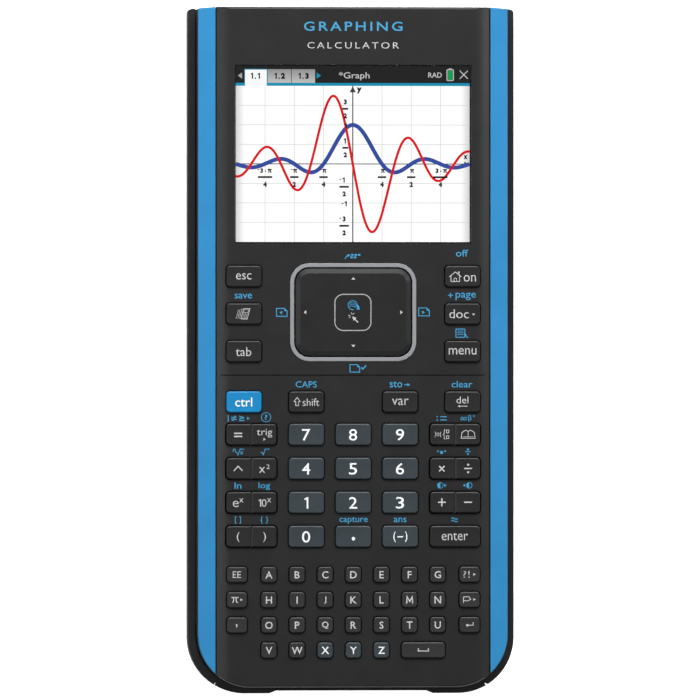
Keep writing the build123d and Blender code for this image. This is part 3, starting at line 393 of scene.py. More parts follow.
class Ink:
    """Flat shapes of one ink on one body, laid on a CAD node's surface as thin closed sheets."""

    up = 1

    def __init__(self, name, body, node, ink, lift=INK_LIFT):
        self.name, self.body, self.node, self.ink, self.lift = name, body, node, ink, lift
        self.shapes = []
        self.origin = (0.0, 0.0)

    def at(self, x, y):
        """Sets the origin that the shapes drawn next are placed from."""
        self.origin = (x, y)
        return self

    def add(self, points, faces):
        ox, oy = self.origin
        self.shapes.append(([(x + ox, y + oy) for x, y in points], faces))
        return self

    def text(self, words, x, y, width, height, weight=PLAIN, spacing=1.0):
        """Words whose outer box is centred on x, y; a width of None keeps the font's proportion."""
        points, faces = glyph_triangles(words, weight, spacing)
        xs, ys = [p[0] for p in points], [p[1] for p in points]
        tall = height / (max(ys) - min(ys))
        wide = width / (max(xs) - min(xs)) if width else tall
        mid_x, mid_y = (max(xs) + min(xs)) / 2, (max(ys) + min(ys)) / 2
        placed = [(x + (px - mid_x) * wide, y + self.up * (py - mid_y) * tall) for px, py in points]
        return self.add(placed, faces)

    def area(self, *points):
        """A filled outline."""
        return self.add(list(points), [tuple(range(len(points)))])

    def box(self, x, y, width, height):
        """A filled rectangle centred on x, y."""
        w, h = width / 2, height / 2
        return self.area((x - w, y - h), (x + w, y - h), (x + w, y + h), (x - w, y + h))

    def disc(self, x, y, radius, start=0.0, end=360.0, sides=20):
        """A filled circle, or the part of one between two angles."""
        corners = sides + (end - start < 360)
        turns = [math.radians(start + (end - start) * i / sides) for i in range(corners)]
        return self.area(*((x + radius * math.cos(t), y + radius * math.sin(t)) for t in turns))

    def line(self, *points, width=0.25, closed=False):
        """A stroke along points, with mitred corners."""
        count = len(points)
        left, right = [], []
        for i, (x, y) in enumerate(points):
            before = points[i - 1] if i or closed else None
            after = points[(i + 1) % count] if i < count - 1 or closed else None
            ways = []
            if before:
                ways.append((x - before[0], y - before[1]))
            if after:
                ways.append((after[0] - x, after[1] - y))
            units = [(dx / math.hypot(dx, dy), dy / math.hypot(dx, dy)) for dx, dy in ways]
            sx, sy = sum(u[0] for u in units), sum(u[1] for u in units)
            size = math.hypot(sx, sy) or 1.0
            nx, ny = -sy / size, sx / size
            cut = max(abs(nx * -units[0][1] + ny * units[0][0]), SHARPEST_CORNER)
            reach = width / 2 / cut
            left.append((x + nx * reach, y + ny * reach))
            right.append((x - nx * reach, y - ny * reach))
        links = range(count if closed else count - 1)
        faces = [(i, (i + 1) % count, count + (i + 1) % count, count + i) for i in links]
        return self.add(left + right, faces)

    def lay(self):
        """Makes the piece: every shape becomes a thin closed sheet that follows the surface."""
        sheet = bmesh.new()
        for order, (points, faces) in enumerate(self.shapes):
            shape = bmesh.new()
            corners = [shape.verts.new((x, y, 0.0)) for x, y in points]
            for face in faces:
                if len(set(face)) > 2:
                    shape.faces.new([corners[i] for i in face])
            bmesh.ops.remove_doubles(shape, verts=shape.verts, dist=MERGE)
            bmesh.ops.recalc_face_normals(shape, faces=shape.faces)
            down = sum(f.normal.z * f.calc_area() for f in shape.faces) < 0
            if down:
                bmesh.ops.reverse_faces(shape, faces=shape.faces)
            raised = bmesh.ops.extrude_face_region(shape, geom=shape.faces[:])
            top = {v for v in raised["geom"] if isinstance(v, bmesh.types.BMVert)}
            bottom_faces = [f for f in shape.faces if not any(v in top for v in f.verts)]
            bmesh.ops.reverse_faces(shape, faces=bottom_faces)
            for v in shape.verts:
                under = surface(self.node, v.co.x, v.co.y)
                if under is None:
                    under = span(self.node)[1].z
                level = self.lift + order * INK_STEP - (0 if v in top else INK_THICKNESS)
                v.co = Vector((v.co.x, v.co.y, under + level)) * MM
            passed = bpy.data.meshes.new("shape")
            shape.to_mesh(passed)
            shape.free()
            sheet.from_mesh(passed)
            bpy.data.meshes.remove(passed)
        mesh = bpy.data.meshes.new(self.name)
        sheet.to_mesh(mesh)
        sheet.free()
        mesh.materials.append(self.ink)
        piece = bpy.data.objects.new(self.name, mesh)
        bpy.context.scene.collection.objects.link(piece)
        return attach(piece, self.body)


INKS = {
    "gray": ink_material("ink_gray", (0.52, 0.52, 0.52)),
    "white": ink_material("ink_white", (0.86, 0.87, 0.88)),
    "silver": ink_material("ink_silver", (0.36, 0.36, 0.36)),
    "blue": ink_material("ink_blue", (0.026, 0.276, 0.505)),
}
SHEETS = {}


def ink(node, colour):
    """The sheet of one colour on a node, placed from the node's middle in plan."""
    body = next(b for b, members in frame["record"]["behaviour"]["bodies"].items() if node in members)
    if (node, colour) not in SHEETS:
        SHEETS[node, colour] = Ink(f"{node}_{colour}_print", body, node, INKS[colour])
    return SHEETS[node, colour].at(*middle(node))


def face(colour, node):
    """The sheet of one colour on the face, placed from the middle of the node it names."""
    return ink("front_case", colour).at(*middle(node))


def rounded(x, y, width, height, radius, steps=5):
    """Points round a rectangle with round corners, anticlockwise."""
    points = []
    for quarter, (sx, sy) in enumerate(((1, 1), (-1, 1), (-1, -1), (1, -1))):
        cx, cy = x + sx * (width / 2 - radius), y + sy * (height / 2 - radius)
        for i in range(steps + 1):
            turn = math.radians(90 * quarter + 90 * i / steps)
            points.append((cx + radius * math.cos(turn), cy + radius * math.sin(turn)))
    return points


# ------------------------------------------------------------------ key legends
def digit_one(sheet, x, y, height, bar):
    """A figure one with its flag, which the built-in font lacks."""
    half = height / 2
    stem = x + 0.12 * height
    sheet.box(stem, y, bar, height)
    flag = (stem - 0.26 * height, y + half - 0.20 * height)
    sheet.line((stem, y + half - bar * 0.30), flag, width=bar * 0.9)


def number_legends():
    for figure in (0, 2, 3, 4, 5, 6, 7, 8, 9):
        ink(f"digit_{figure}_key", "white").text(str(figure), -0.1, -0.12, 2.3, 3.2)
    digit_one(ink("digit_1_key", "white"), -0.1, -0.12, 3.15, 0.46)
    ink("decimal_point_key", "white").disc(0, -0.65, 0.47)
    minus = ink("negative_sign_key", "white")
    for sign, side in (("(", -1), (")", 1)):
        minus.text(sign, 1.62 * side, -0.12, 0.68, 2.9, weight=0.008)
    minus.box(0, -0.12, 1.6, 0.34)


def word_legends():
    for node, words, x, y, width, height in (
        ("escape_key", "esc", -0.1, -0.05, 4.3, 1.75),
        ("tab_key", "tab", -0.15, -0.1, 4.3, 2.45),
        ("menu_key", "menu", 0.0, 0.0, 7.7, 1.8),
        ("document_key", "doc", -1.0, 0.0, 5.4, 2.5),
        ("home_key", "on", 2.0, -0.55, 3.4, 1.85),
        ("shift_key", "shift", 1.25, -0.1, 4.6, 2.1),
        ("variable_key", "var", 0.0, 0.0, 4.6, 1.8),
        ("delete_key", "del", -0.05, 0.5, 3.3, 1.95),
        ("enter_key", "enter", -0.1, -0.05, 7.3, 2.15),
    ):
        ink(node, "gray").text(words, x, y, width, height, weight=THIN)
    ink("control_key", "white").text("ctrl", -0.1, -0.05, 4.75, 2.5, weight=0.003)
    ink("document_key", "gray").area((2.65, 0.05), (3.5, 0.05), (3.08, -0.45))
    arrow = ink("delete_key", "gray")
    arrow.line((-0.9, -1.22), (1.3, -1.22), width=0.18)
    arrow.area((-1.4, -1.22), (-0.7, -1.55), (-0.7, -0.89))


def shift_arrow(sheet, x, y):
    """Hollow upward arrow."""
    head, stem, tall = 0.85, 0.40, 1.15
    sheet.line(
        (x - stem, y - tall), (x + stem, y - tall), (x + stem, y), (x + head, y),
        (x, y + tall), (x - head, y), (x - stem, y), width=0.18, closed=True,
    )


def house(sheet, x, y):
    """Outline of a house with a chimney and a door."""
    sheet.line((x - 1.7, y - 0.05), (x, y + 1.35), (x + 1.7, y - 0.05), width=0.20)
    sheet.line((x - 1.2, y + 0.3), (x - 1.2, y - 1.3), (x + 1.2, y - 1.3), (x + 1.2, y + 0.3), width=0.18)
    sheet.line((x - 0.35, y - 1.3), (x - 0.35, y - 0.4), (x + 0.35, y - 0.4), (x + 0.35, y - 1.3), width=0.15)
    sheet.line(
        (x + 0.8, y + 0.75), (x + 0.8, y + 1.35), (x + 1.15, y + 1.35), (x + 1.15, y + 0.45), width=0.15,
    )


def small_calculator(sheet, x, y):
    """Leaning calculator with speed lines behind it."""
    lean = 0.26

    def at(u, v):
        return x + u + lean * v, y + v

    sheet.line(at(-0.75, -1.45), at(1.0, -1.45), at(1.0, 1.45), at(-0.75, 1.45), width=0.15, closed=True)
    sheet.line(at(-0.45, 0.35), at(0.7, 0.35), at(0.7, 1.15), at(-0.45, 1.15), width=0.10, closed=True)
    for v in (-0.1, -0.62, -1.14):
        for u in (-0.35, 0.12, 0.6):
            sheet.box(*at(u, v), 0.26, 0.22)
    for step in range(3):
        u = -1.2 - 0.45 * step
        sheet.line(at(u, -1.4), at(u, 1.4 - 0.15 * step), width=0.10)


def circle(x, y, radius, sides):
    """Points round a circle, anticlockwise."""
    turns = [t * 2 * math.pi / sides for t in range(sides)]
    return [(x + radius * math.cos(t), y + radius * math.sin(t)) for t in turns]


def tip(sheet, x, y, turn, long=0.7, wide=0.75):
    """Small filled triangle centred on x, y that points at an angle in degrees."""
    dx, dy = math.cos(math.radians(turn)), math.sin(math.radians(turn))
    corners = ((long / 2, 0), (-long / 2, wide / 2), (-long / 2, -wide / 2))
    sheet.area(*((x + u * dx - v * dy, y + u * dy + v * dx) for u, v in corners))


def pi_sign(sheet, x, y, width, height, bar):
    """Letter pi in strokes."""
    w, h = width / 2, sheet.up * height / 2
    bar_y = y + h - sheet.up * bar / 2
    sheet.line((x - w, bar_y - sheet.up * bar / 5), (x - w * 0.7, bar_y), (x + w, bar_y), width=bar)
    sheet.line((x - w * 0.35, y + h), (x - w * 0.35, y - h * 0.2), (x - w * 0.6, y - h), width=bar)
    sheet.line((x + w * 0.38, y + h), (x + w * 0.38, y - h * 0.6), (x + w * 0.8, y - h), width=bar)


LEFT_HALF = -3.72
RIGHT_HALF = 3.62


def rocker_legends():
    equals = ink("equals_trig_rocker", "gray")
    for level in (-0.55, 0.3):
        equals.box(LEFT_HALF, level, 2.25, 0.36)
    equals.text("trig", RIGHT_HALF, 0.35, 4.3, 2.4, weight=THIN)
    tip(equals, RIGHT_HALF, -1.35, 0, 0.6, 0.8)

    power = ink("power_square_rocker", "gray")
    power.line((LEFT_HALF - 1.2, -0.65), (LEFT_HALF, 0.6), (LEFT_HALF + 1.2, -0.65), width=0.3)
    power.text("x", 2.95, -0.4, 1.65, 1.6, weight=THIN)
    power.text("2", 4.6, 0.5, 0.95, 1.25, weight=THIN)

    exponential = ink("exponential_rocker", "gray")
    exponential.text("e", -4.4, -0.4, 1.65, 1.75, weight=THIN)
    exponential.text("x", -2.85, 0.55, 1.15, 1.15, weight=THIN)
    digit_one(exponential, 2.3, -0.15, 2.05, 0.3)
    exponential.text("0", 3.5, -0.15, 1.35, 2.1, weight=THIN)
    exponential.text("x", 4.9, 0.6, 1.1, 1.15, weight=THIN)

    bracket = ink("bracket_rocker", "gray")
    bracket.text("(", LEFT_HALF, -0.15, 0.8, 2.8, weight=THIN)
    bracket.text(")", RIGHT_HALF, -0.15, 0.8, 2.8, weight=THIN)

    times = ink("multiply_divide_rocker", "gray")
    for way in (-1, 1):
        times.line((LEFT_HALF - 0.75, -0.1 - 0.75 * way), (LEFT_HALF + 0.75, -0.1 + 0.75 * way), width=0.34)
    times.box(RIGHT_HALF, -0.05, 2.2, 0.34)
    for level in (-1.1, 1.0):
        times.disc(RIGHT_HALF, level, 0.3)

    plus = ink("plus_minus_rocker", "gray")
    plus.box(LEFT_HALF, 0.0, 2.15, 0.36)
    plus.box(LEFT_HALF, 0.0, 0.36, 2.2)
    plus.box(RIGHT_HALF, 0.0, 2.2, 0.36)

    template_and_book(ink("template_catalog_rocker", "gray"))


def template_and_book(sheet):
    """Expression template of little boxes, and an open book."""
    sheet.line((-5.6, 0.75), (-5.45, 0.0), (-5.6, -0.8), width=0.13)
    sheet.line(*rounded(-4.8, 0.0, 0.6, 0.7, 0.1, 2), width=0.13, closed=True)
    sheet.line((-4.0, 0.75), (-4.15, 0.0), (-4.0, -0.8), width=0.13)
    sheet.line(
        (-2.75, 1.4), (-3.05, 1.2), (-3.05, 0.25), (-3.35, 0.0), (-3.05, -0.25), (-3.05, -1.2), (-2.75, -1.4),
        width=0.16,
    )
    for level in (0.8, -0.8):
        sheet.line(*rounded(-2.1, level, 0.66, 0.8, 0.1, 2), width=0.16, closed=True)
    for side in (-1, 1):
        x = RIGHT_HALF
        sheet.line(
            (x, 0.75), (x + side * 0.55, 1.15), (x + side * 1.25, 0.85), (x + side * 1.75, 0.45),
            (x + side * 1.95, -1.1), (x, -1.1), width=0.17,
        )
        sheet.line((x + side * 0.2, -0.72), (x + side * 1.5, -0.66), width=0.12)
    sheet.line((RIGHT_HALF, 0.75), (RIGHT_HALF, -0.9), width=0.15)


def letter_legends():
    rows = (("EE", "ABCDEFG", "?!"), ("π", "HIJKLMN", "flag"), (",", "OPQRSTU", "return"))
    for number, (first, letters, last) in enumerate(rows, 1):
        node = f"letter_row_{number}_keys"
        places = cap_middles(node)
        sheet = ink(node, "gray")
        for letter, (x, y) in zip(letters, places[1:-1]):
            sheet.at(x, y)
            if letter == "M":
                sheet.line((-0.85, -1.05), (-0.7, 0.75), (0, -0.5), (0.7, 0.75), (0.85, -1.05), width=0.34)
            else:
                sheet.text(letter, 0, -0.07, None, 2.0, weight=HEAVY)
        sheet.at(*places[0])
        if first == "EE":
            sheet.text("EE", -0.05, 0, 2.3, 1.8, weight=-0.004)
        elif first == "π":
            pi_sign(sheet, -0.6, 0.0, 2.0, 1.6, 0.26)
            tip(sheet, 1.25, 0.0, 0)
        else:
            sheet.text(",", -0.1, -0.25, 0.45, 1.0, weight=HEAVY)
        sheet.at(*places[-1])
        if last == "?!":
            sheet.text("?!", -0.85, 0.0, 1.75, 1.8, weight=-0.012)
            tip(sheet, 1.37, 0.0, 0)
        elif last == "flag":
            sheet.line((-1.7, -0.95), (-1.7, 0.85), width=0.2)
            sheet.line((-1.7, 0.75), (-0.2, 0.75), (0.3, 0.1), (-0.3, -0.35), (-1.7, -0.3), width=0.2)
            tip(sheet, 1.37, 0.0, 0)
        else:
            sheet.line((1.0, 0.75), (1.0, -0.15), (-0.6, -0.15), width=0.2)
            sheet.area((-1.2, -0.15), (-0.45, -0.6), (-0.45, 0.3))
    for node, letters, colour in (("letter_v_w_keys", "VW", "gray"), ("letter_x_y_z_keys", "XYZ", "white")):
        sheet = ink(node, colour)
        for letter, (x, y) in zip(letters, cap_middles(node)):
            sheet.at(x, y).text(letter, 0, -0.07, None, 2.0, weight=HEAVY)
    ink("space_key", "gray").line((-1.4, 0.45), (-1.4, -0.3), (1.4, -0.3), (1.4, 0.45), width=0.26)


# ------------------------------------------------------------------ second functions, on the face
def second_words():
    for node, words, x, y, width, height in (
        ("home_key", "off", -0.1, 6.45, 3.4, 1.95),
        ("scratchpad_key", "save", -0.15, 4.9, 4.85, 1.35),
        ("document_key", "page", 0.95, 4.85, 5.7, 2.05),
        ("shift_key", "CAPS", 0.0, 4.85, 5.9, 1.75),
        ("variable_key", "sto", -1.15, 4.85, 3.5, 1.75),
        ("delete_key", "clear", -0.1, 4.9, 5.8, 1.85),
        ("exponential_rocker", "ln", LEFT_HALF, 4.7, 1.95, 1.8),
        ("exponential_rocker", "log", RIGHT_HALF, 4.5, 3.25, 2.15),
        ("decimal_point_key", "capture", 0.1, 4.4, 7.9, 1.95),
        ("negative_sign_key", "ans", 0.0, 4.55, 3.5, 1.3),
    ):
        face("blue", node).text(words, x, y, width, height)
    plus = face("blue", "document_key")
    plus.box(-3.3, 5.15, 1.35, 0.26)
    plus.box(-3.3, 5.15, 0.26, 1.35)
    arrow = face("blue", "variable_key")
    arrow.line((1.2, 4.75), (2.3, 4.75), width=0.26)
    arrow.area((2.05, 5.2), (2.8, 4.75), (2.05, 4.3))


def second_signs():
    row = 4.45
    sheet = face("blue", "equals_trig_rocker")
    sheet.line((-6.45, row + 0.95), (-6.45, row - 0.95), width=0.24)
    sheet.text("≠", -4.85, row, 1.5, 1.5, weight=0.012)
    sheet.text("≥", -2.65, row, 1.45, 1.5, weight=0.012)
    tip(sheet, -0.8, row, 0, 0.75, 0.85)
    sheet.line(*circle(4.1, 4.75, 1.3, 20), width=0.16, closed=True)
    sheet.text("?", 4.1, 4.75, 0.8, 1.4)

    sheet = face("blue", "template_catalog_rocker")
    for level in (row - 0.45, row + 0.45):
        sheet.disc(-4.95, level, 0.2, sides=10)
        sheet.box(-3.2, level, 1.8, 0.26)
    sheet.text("∞", 2.45, row - 0.1, 1.75, 1.0, weight=0.0)
    sheet.text("β", 4.15, row, 0.9, 1.9, weight=0.0)
    sheet.text("°", 5.3, row + 0.65, 0.55, 0.55, weight=0.0)

    sheet = face("blue", "power_square_rocker")
    sheet.text("n", -4.75, 5.05, 0.8, 0.8, weight=0.014)
    for x in (-3.45, 3.55):
        sheet.line(
            (x - 0.95, 4.35), (x - 0.6, 4.5), (x - 0.25, 3.75), (x + 0.3, 5.35), (x + 1.5, 5.35), width=0.2,
        )
    sheet.text("x", -2.7, 4.3, 0.85, 0.85, weight=0.014)

    sheet = face("blue", "multiply_divide_rocker")
    for x in (-4.75, -2.75):
        for nudge in (-0.18, 0.18):
            sheet.line((x + nudge, 5.0), (x + nudge * 0.6, 4.5), width=0.18)
    sheet.box(LEFT_HALF, 4.4, 0.75, 0.75)
    sheet.box(RIGHT_HALF, 4.6, 1.6, 0.2)
    for level in (3.98, 5.22):
        sheet.box(RIGHT_HALF, level, 0.52, 0.52)

    sheet = face("blue", "plus_minus_rocker")
    for x, side in ((LEFT_HALF - 0.35, 1), (RIGHT_HALF + 0.35, -1)):
        sheet.line(*circle(x, 4.7, 0.8, 18), width=0.16, closed=True)
        sheet.disc(x, 4.7, 0.78, 90, 270, sides=10)
        tip(sheet, x + side * 1.45, 4.7, 0 if side > 0 else 180, 0.7, 0.8)

    sheet = face("blue", "bracket_rocker")
    for x, side in ((LEFT_HALF - 0.75, 1), (LEFT_HALF + 0.75, -1)):
        sheet.line((x + side * 0.4, 5.45), (x, 5.45), (x, 3.7), (x + side * 0.4, 3.7), width=0.2)
    sheet.text("{", RIGHT_HALF - 0.75, 4.55, 0.6, 1.95, weight=0.008)
    sheet.text("}", RIGHT_HALF + 0.75, 4.55, 0.6, 1.95, weight=0.008)

    sheet = face("blue", "enter_key")
    for level in (4.2, 4.9):
        ripple = [(-0.1 + 0.9 * t / 6, level - 0.2 * math.sin(t * math.pi / 6)) for t in range(-6, 7)]
        sheet.line(*ripple, width=0.22)


def page(sheet, x, y, width, height, fold):
    """Sheet of paper with a folded upper right corner."""
    w, h = width / 2, height / 2
    sheet.line(
        (x - w, y - h), (x + w, y - h), (x + w, y + h - fold), (x + w - fold, y + h), (x - w, y + h),
        width=0.24, closed=True,
    )
    sheet.area((x + w - fold, y + h), (x + w - fold, y + h - fold), (x + w, y + h - fold))


def cursor(sheet, x, y, size):
    """Filled pointer that points up and to the left."""
    shape = ((0, 0), (0.25, -0.68), (0.38, -0.50), (0.86, -0.98), (0.98, -0.86), (0.50, -0.38), (0.68, -0.25))
    sheet.area(*((x + u * size, y + v * size) for u, v in shape))


def pad_icons():
    sheet = face("blue", "touchpad_ring")
    page(sheet, -19.9, -0.05, 2.95, 2.2, 0.75)
    tip(sheet, -20.15, -0.1, 180, 0.75, 0.95)
    page(sheet, 19.75, 0.1, 2.95, 2.2, 0.75)
    tip(sheet, 19.6, 0.0, 0, 0.75, 0.95)
    page(sheet, 0.45, -15.6, 2.7, 2.1, 0.7)
    sheet.line((2.2, -15.35), (2.7, -15.8), (3.6, -14.75), width=0.34)
    sheet.line((-2.3, 14.85), (-1.75, 15.65), (-0.95, 15.75), width=0.24)
    tip(sheet, -1.2, 15.85, 20, 0.8, 0.8)
    for column in range(3):
        sheet.box(-0.25 + 0.95 * column, 15.95, 0.7, 0.5)
        if column < 2:
            sheet.box(-0.45 + 0.95 * column, 15.25, 0.7, 0.5)
    sheet = face("blue", "menu_key")
    sheet.line(*rounded(-0.55, 5.05, 2.5, 2.3, 0.15, 2), width=0.24, closed=True)
    for level in (5.65, 5.15, 4.65):
        sheet.line((-1.4, level), (0.3, level), width=0.18)
    cursor(sheet, 0.35, 4.95, 1.35)


def pad_prints():
    outline = ink("touchpad_plate", "silver")
    outline.line(*rounded(-0.1, -0.05, 10.05, 10.05, 2.3, 8), width=0.27, closed=True)
    sheet = ink("touchpad_plate", "gray")
    for x, y, turn in ((0, 9.4, 90), (0, -9.4, 270), (-13.45, 0, 180), (13.45, 0, 0)):
        tip(sheet, x, y, turn, 0.65, 1.1)
    cursor(sheet, -0.35, -1.15, 1.8)
    for turn in (50, 95, 170, 215):
        a = math.radians(turn)
        near, far = 0.4, 1.0
        sheet.line((-0.45 + near * math.cos(a), -1.0 + near * math.sin(a)),
                   (-0.45 + far * math.cos(a), -1.0 + far * math.sin(a)), width=0.15)
    hand = ink("touchpad_plate", "blue")
    palm = circle(-0.2, 1.95, 1.25, 24)[:20]
    hand.line(*palm, width=0.20)
    for t in (0.55, 0.1, -0.35):
        hand.line((-1.1, 1.85 + t), (-0.5, 2.1 + t), (0.2, 1.95 + t), (0.75, 1.6 + t), width=0.13)
    hand.area((0.75, 2.05), (1.25, 2.1), (1.65, 1.55), (1.75, 0.75), (1.0, 0.7), (1.05, 1.4))


def maker_line():
    """Generic words where a calculator carries its name."""
    face("blue", "display_window").text("GRAPHING", 0.0, 35.5, 27.5, 2.6, weight=HEAVY, spacing=1.3)
    face("gray", "display_window").text("CALCULATOR", 0.0, 30.2, 25.5, 1.75, weight=-0.004, spacing=1.35)


# ------------------------------------------------------------------ the display's picture
DOTS_WIDE, DOTS_HIGH = 320, 240
PICTURE_WIDTH = 65.2
DOT = PICTURE_WIDTH / DOTS_WIDE
BAR_DOTS, RULE_DOTS = 23, 4
PLOT_TOP = BAR_DOTS + RULE_DOTS
GRID_X = 40.0  # a quarter of pi along x
GRID_Y = (DOTS_HIGH - PLOT_TOP) / 8  # a half along y
AXIS_X = DOTS_WIDE / 2
AXIS_Y = PLOT_TOP + 4 * GRID_Y
LAYER = 0.006
BOLD = 0.065


class Picture(Ink):
    """Shapes placed in display dots, counted from the upper left corner of the picture."""

    up = -1
    count = 0

    def __init__(self, name, colour, strength=1.0, fade=None):
        Picture.count += 1
        glow = lit(f"lit_{name}", colour, strength, fade)
        super().__init__(f"display_{name}", FACE_BODY, "lcd_panel", glow, LAYER * Picture.count)
        self.middle = middle("lcd_panel")

    def add(self, points, faces):
        mx, my = self.middle
        flat = [(mx + (x - DOTS_WIDE / 2) * DOT, my + (DOTS_HIGH / 2 - y) * DOT) for x, y in points]
        self.shapes.append((flat, faces))
        return self


def one(sheet, x, y, height=7.2):
    """Figure one in dots."""
    sheet.box(x, y, 1.7, height)
    sheet.line((x, y - height / 2 + 0.5), (x - 2.2, y - height / 2 + 2.4), width=1.3)


def label_pi_fraction(sheet, x, step, under):
    """Label under the x axis: pi, or three times pi, over a number."""
    triple = abs(step) == 3
    half = 9.0 if triple else 5.0
    pi_sign(sheet, x + half - 2.6 if triple else x + 1.2, AXIS_Y + 9.4, 5.6, 5.2, 1.6)
    if triple:
        sheet.text("3", x - half + 4.4, AXIS_Y + 9.2, None, 6.6, BOLD)
        sheet.disc(x + 0.6, AXIS_Y + 9.8, 1.0, sides=8)
    if step < 0:
        sheet.box(x - half + (0.0 if triple else 1.4), AXIS_Y + 7.6, 2.6, 1.2)
    sheet.box(x, AXIS_Y + 18.0, 2 * half + 1.6, 2.6)
    sheet.text(under, x, AXIS_Y + 28.0, None, 7.0, BOLD)


def label_fraction(sheet, line_y, over, negative):
    """Label beside the y axis: a number over two, with its bar at line_y."""
    x = 148.2 if negative else 149.8
    if over == "1":
        one(sheet, x, line_y - 9.4)
    else:
        sheet.text(over, x, line_y - 9.4, None, 7.0, BOLD)
    if negative:
        sheet.box(x - 5.2, line_y - 10.4, 2.8, 1.2)
    sheet.box(148.2 if negative else 149.8, line_y, 13.0 if negative else 8.0, 2.6)
    sheet.text("2", x, line_y + 9.6, None, 7.0, BOLD)


def curve_points(function):
    """A function's curve over the plot, in dots; one grid step is a quarter of pi by a half."""
    points = []
    for i in range(DOTS_WIDE * 2 + 1):
        x = i / 2
        value = function((x - AXIS_X) / GRID_X * math.pi / 4)
        points.append((x, AXIS_Y - value * 2 * GRID_Y))
    return points


def wave(x):
    """The thick curve: the sine of 4x over 4x."""
    return 1.0 if abs(x) < 1e-6 else math.sin(4 * x) / (4 * x)


def slope(x):
    """The thin curve: the derivative of the thick one."""
    u = 4 * x
    return 0.0 if abs(u) < 1e-4 else 4 * (u * math.cos(u) - math.sin(u)) / u**2


def draw_display():
    half = PICTURE_WIDTH / 2
    plot = Picture("plot_field", (1.0, 1.0, 1.0), 1.1, ("X", half - 2.6, half, 0.30, 0.55))
    plot.box(AXIS_X, (PLOT_TOP + DOTS_HIGH) / 2, DOTS_WIDE, DOTS_HIGH - PLOT_TOP)
    bar = Picture("title_bar", (0.016, 0.016, 0.016))
    bar.box(AXIS_X, BAR_DOTS / 2, DOTS_WIDE, BAR_DOTS)
    rule = Picture("rule", (0.006, 0.29, 0.46))
    rule.box(AXIS_X, BAR_DOTS + RULE_DOTS / 2, DOTS_WIDE, RULE_DOTS)
    rule.box(27.5, 13.6, 31.6, 19.4)
    tip(rule, 113.6, 13.0, 0, 6.0, 8.0)
    top = middle("lcd_panel")[1] + DOTS_HIGH / 2 * DOT
    tabs = Picture("tabs", (0.55, 0.55, 0.55), fade=("Y", top - BAR_DOTS * DOT, top - 4 * DOT, 0.29, 1.0))
    tabs.box(59.6, 13.6, 32.0, 18.6)
    tabs.box(92.4, 13.6, 32.0, 18.6)
    tip(tabs, 5.8, 13.0, 180, 5.6, 8.4)
    open_tab = Picture("open_tab", (1.0, 1.0, 1.0))
    open_tab.box(27.5, 16.0, 29.6, 22.0)

    grid = Picture("grid", (0.72, 0.72, 0.72))
    for step in range(1, 8):
        if step != 4:
            grid.box(GRID_X * step, (PLOT_TOP + DOTS_HIGH) / 2, 1.0, DOTS_HIGH - PLOT_TOP)
            grid.box(AXIS_X, PLOT_TOP + GRID_Y * step, DOTS_WIDE, 1.0)
    axes = Picture("axes", (0.05, 0.05, 0.05))
    axes.box(AXIS_X, (PLOT_TOP + DOTS_HIGH) / 2, 1.6, DOTS_HIGH - PLOT_TOP)
    axes.box(AXIS_X, AXIS_Y, DOTS_WIDE, 1.3)
    tip(axes, AXIS_X, PLOT_TOP + 4.5, 270, 8.5, 8.5)
    tip(axes, DOTS_WIDE - 4.0, AXIS_Y, 0, 7.0, 7.0)

    thick = Picture("thick_curve", (0.035, 0.075, 0.36))
    thick.line(*curve_points(wave), width=5.6)
    thin = Picture("thin_curve", (0.76, 0.006, 0.010))
    thin.line(*curve_points(slope), width=3.5)

    labels = Picture("labels", (0.0, 0.0, 0.0))
    labels.text("y", 168.8, 33.2, 7.0, 8.2, BOLD)
    labels.text("x", 314.5, 124.0, 5.4, 5.4, BOLD)
    for step, under in ((-3, "4"), (-2, "2"), (-1, "4"), (1, "4"), (2, "2"), (3, "4")):
        label_pi_fraction(labels, AXIS_X + GRID_X * step, step, under)
    for step, over in ((3, "3"), (1, "1"), (-1, "1"), (-3, "3")):
        label_fraction(labels, AXIS_Y - GRID_Y * step + 4.6, over, step < 0)
    for sign in (1, -1):
        level = AXIS_Y - 2 * GRID_Y * sign + 1.0
        one(labels, 151.0, level)
        if sign < 0:
            labels.box(146.0, level, 2.8, 1.2)
    for x, last in ((27.2, "1"), (59.6, "2"), (92.4, "3")):
        one(labels, x - 4.4, 13.4, 8.2)
        labels.disc(x - 0.4, 16.6, 1.1, sides=8)
        if last == "1":
            one(labels, x + 5.0, 13.4, 8.2)
        else:
            labels.text(last, x + 5.0, 13.4, None, 8.2, BOLD)

    titles = Picture("titles", (0.60, 0.60, 0.60))
    titles.text("*Graph", 162.0, 13.6, 42.0, 11.6)
    titles.text("RAD", 272.6, 12.0, 18.6, 7.0, weight=HEAVY)
    titles.line((306.5, 6.0), (317.5, 17.0), width=1.15)
    titles.line((317.5, 6.0), (306.5, 17.0), width=1.15)
    titles.line(*rounded(293.4, 12.0, 8.8, 14.8, 1.2, 2), width=1.2, closed=True)
    titles.box(293.4, 3.8, 3.8, 1.6)
    charge = Picture("charge", (0.004, 0.36, 0.085))
    charge.box(293.4, 12.0, 6.4, 12.2)

    for sheet in (plot, bar, rule, tabs, open_tab, grid, axes, thick, thin, labels, titles, charge):
        sheet.lay()


# ------------------------------------------------------------------ stage, light and camera
MM_PER_PIXEL = 0.278
CAMERA_YAW = 4.1
LENS = 600.0
SENSOR = 36.0
IMAGE_SIZE = 700
AIM = (0.34, 0.0)
FLOOR_HALF = 3.0


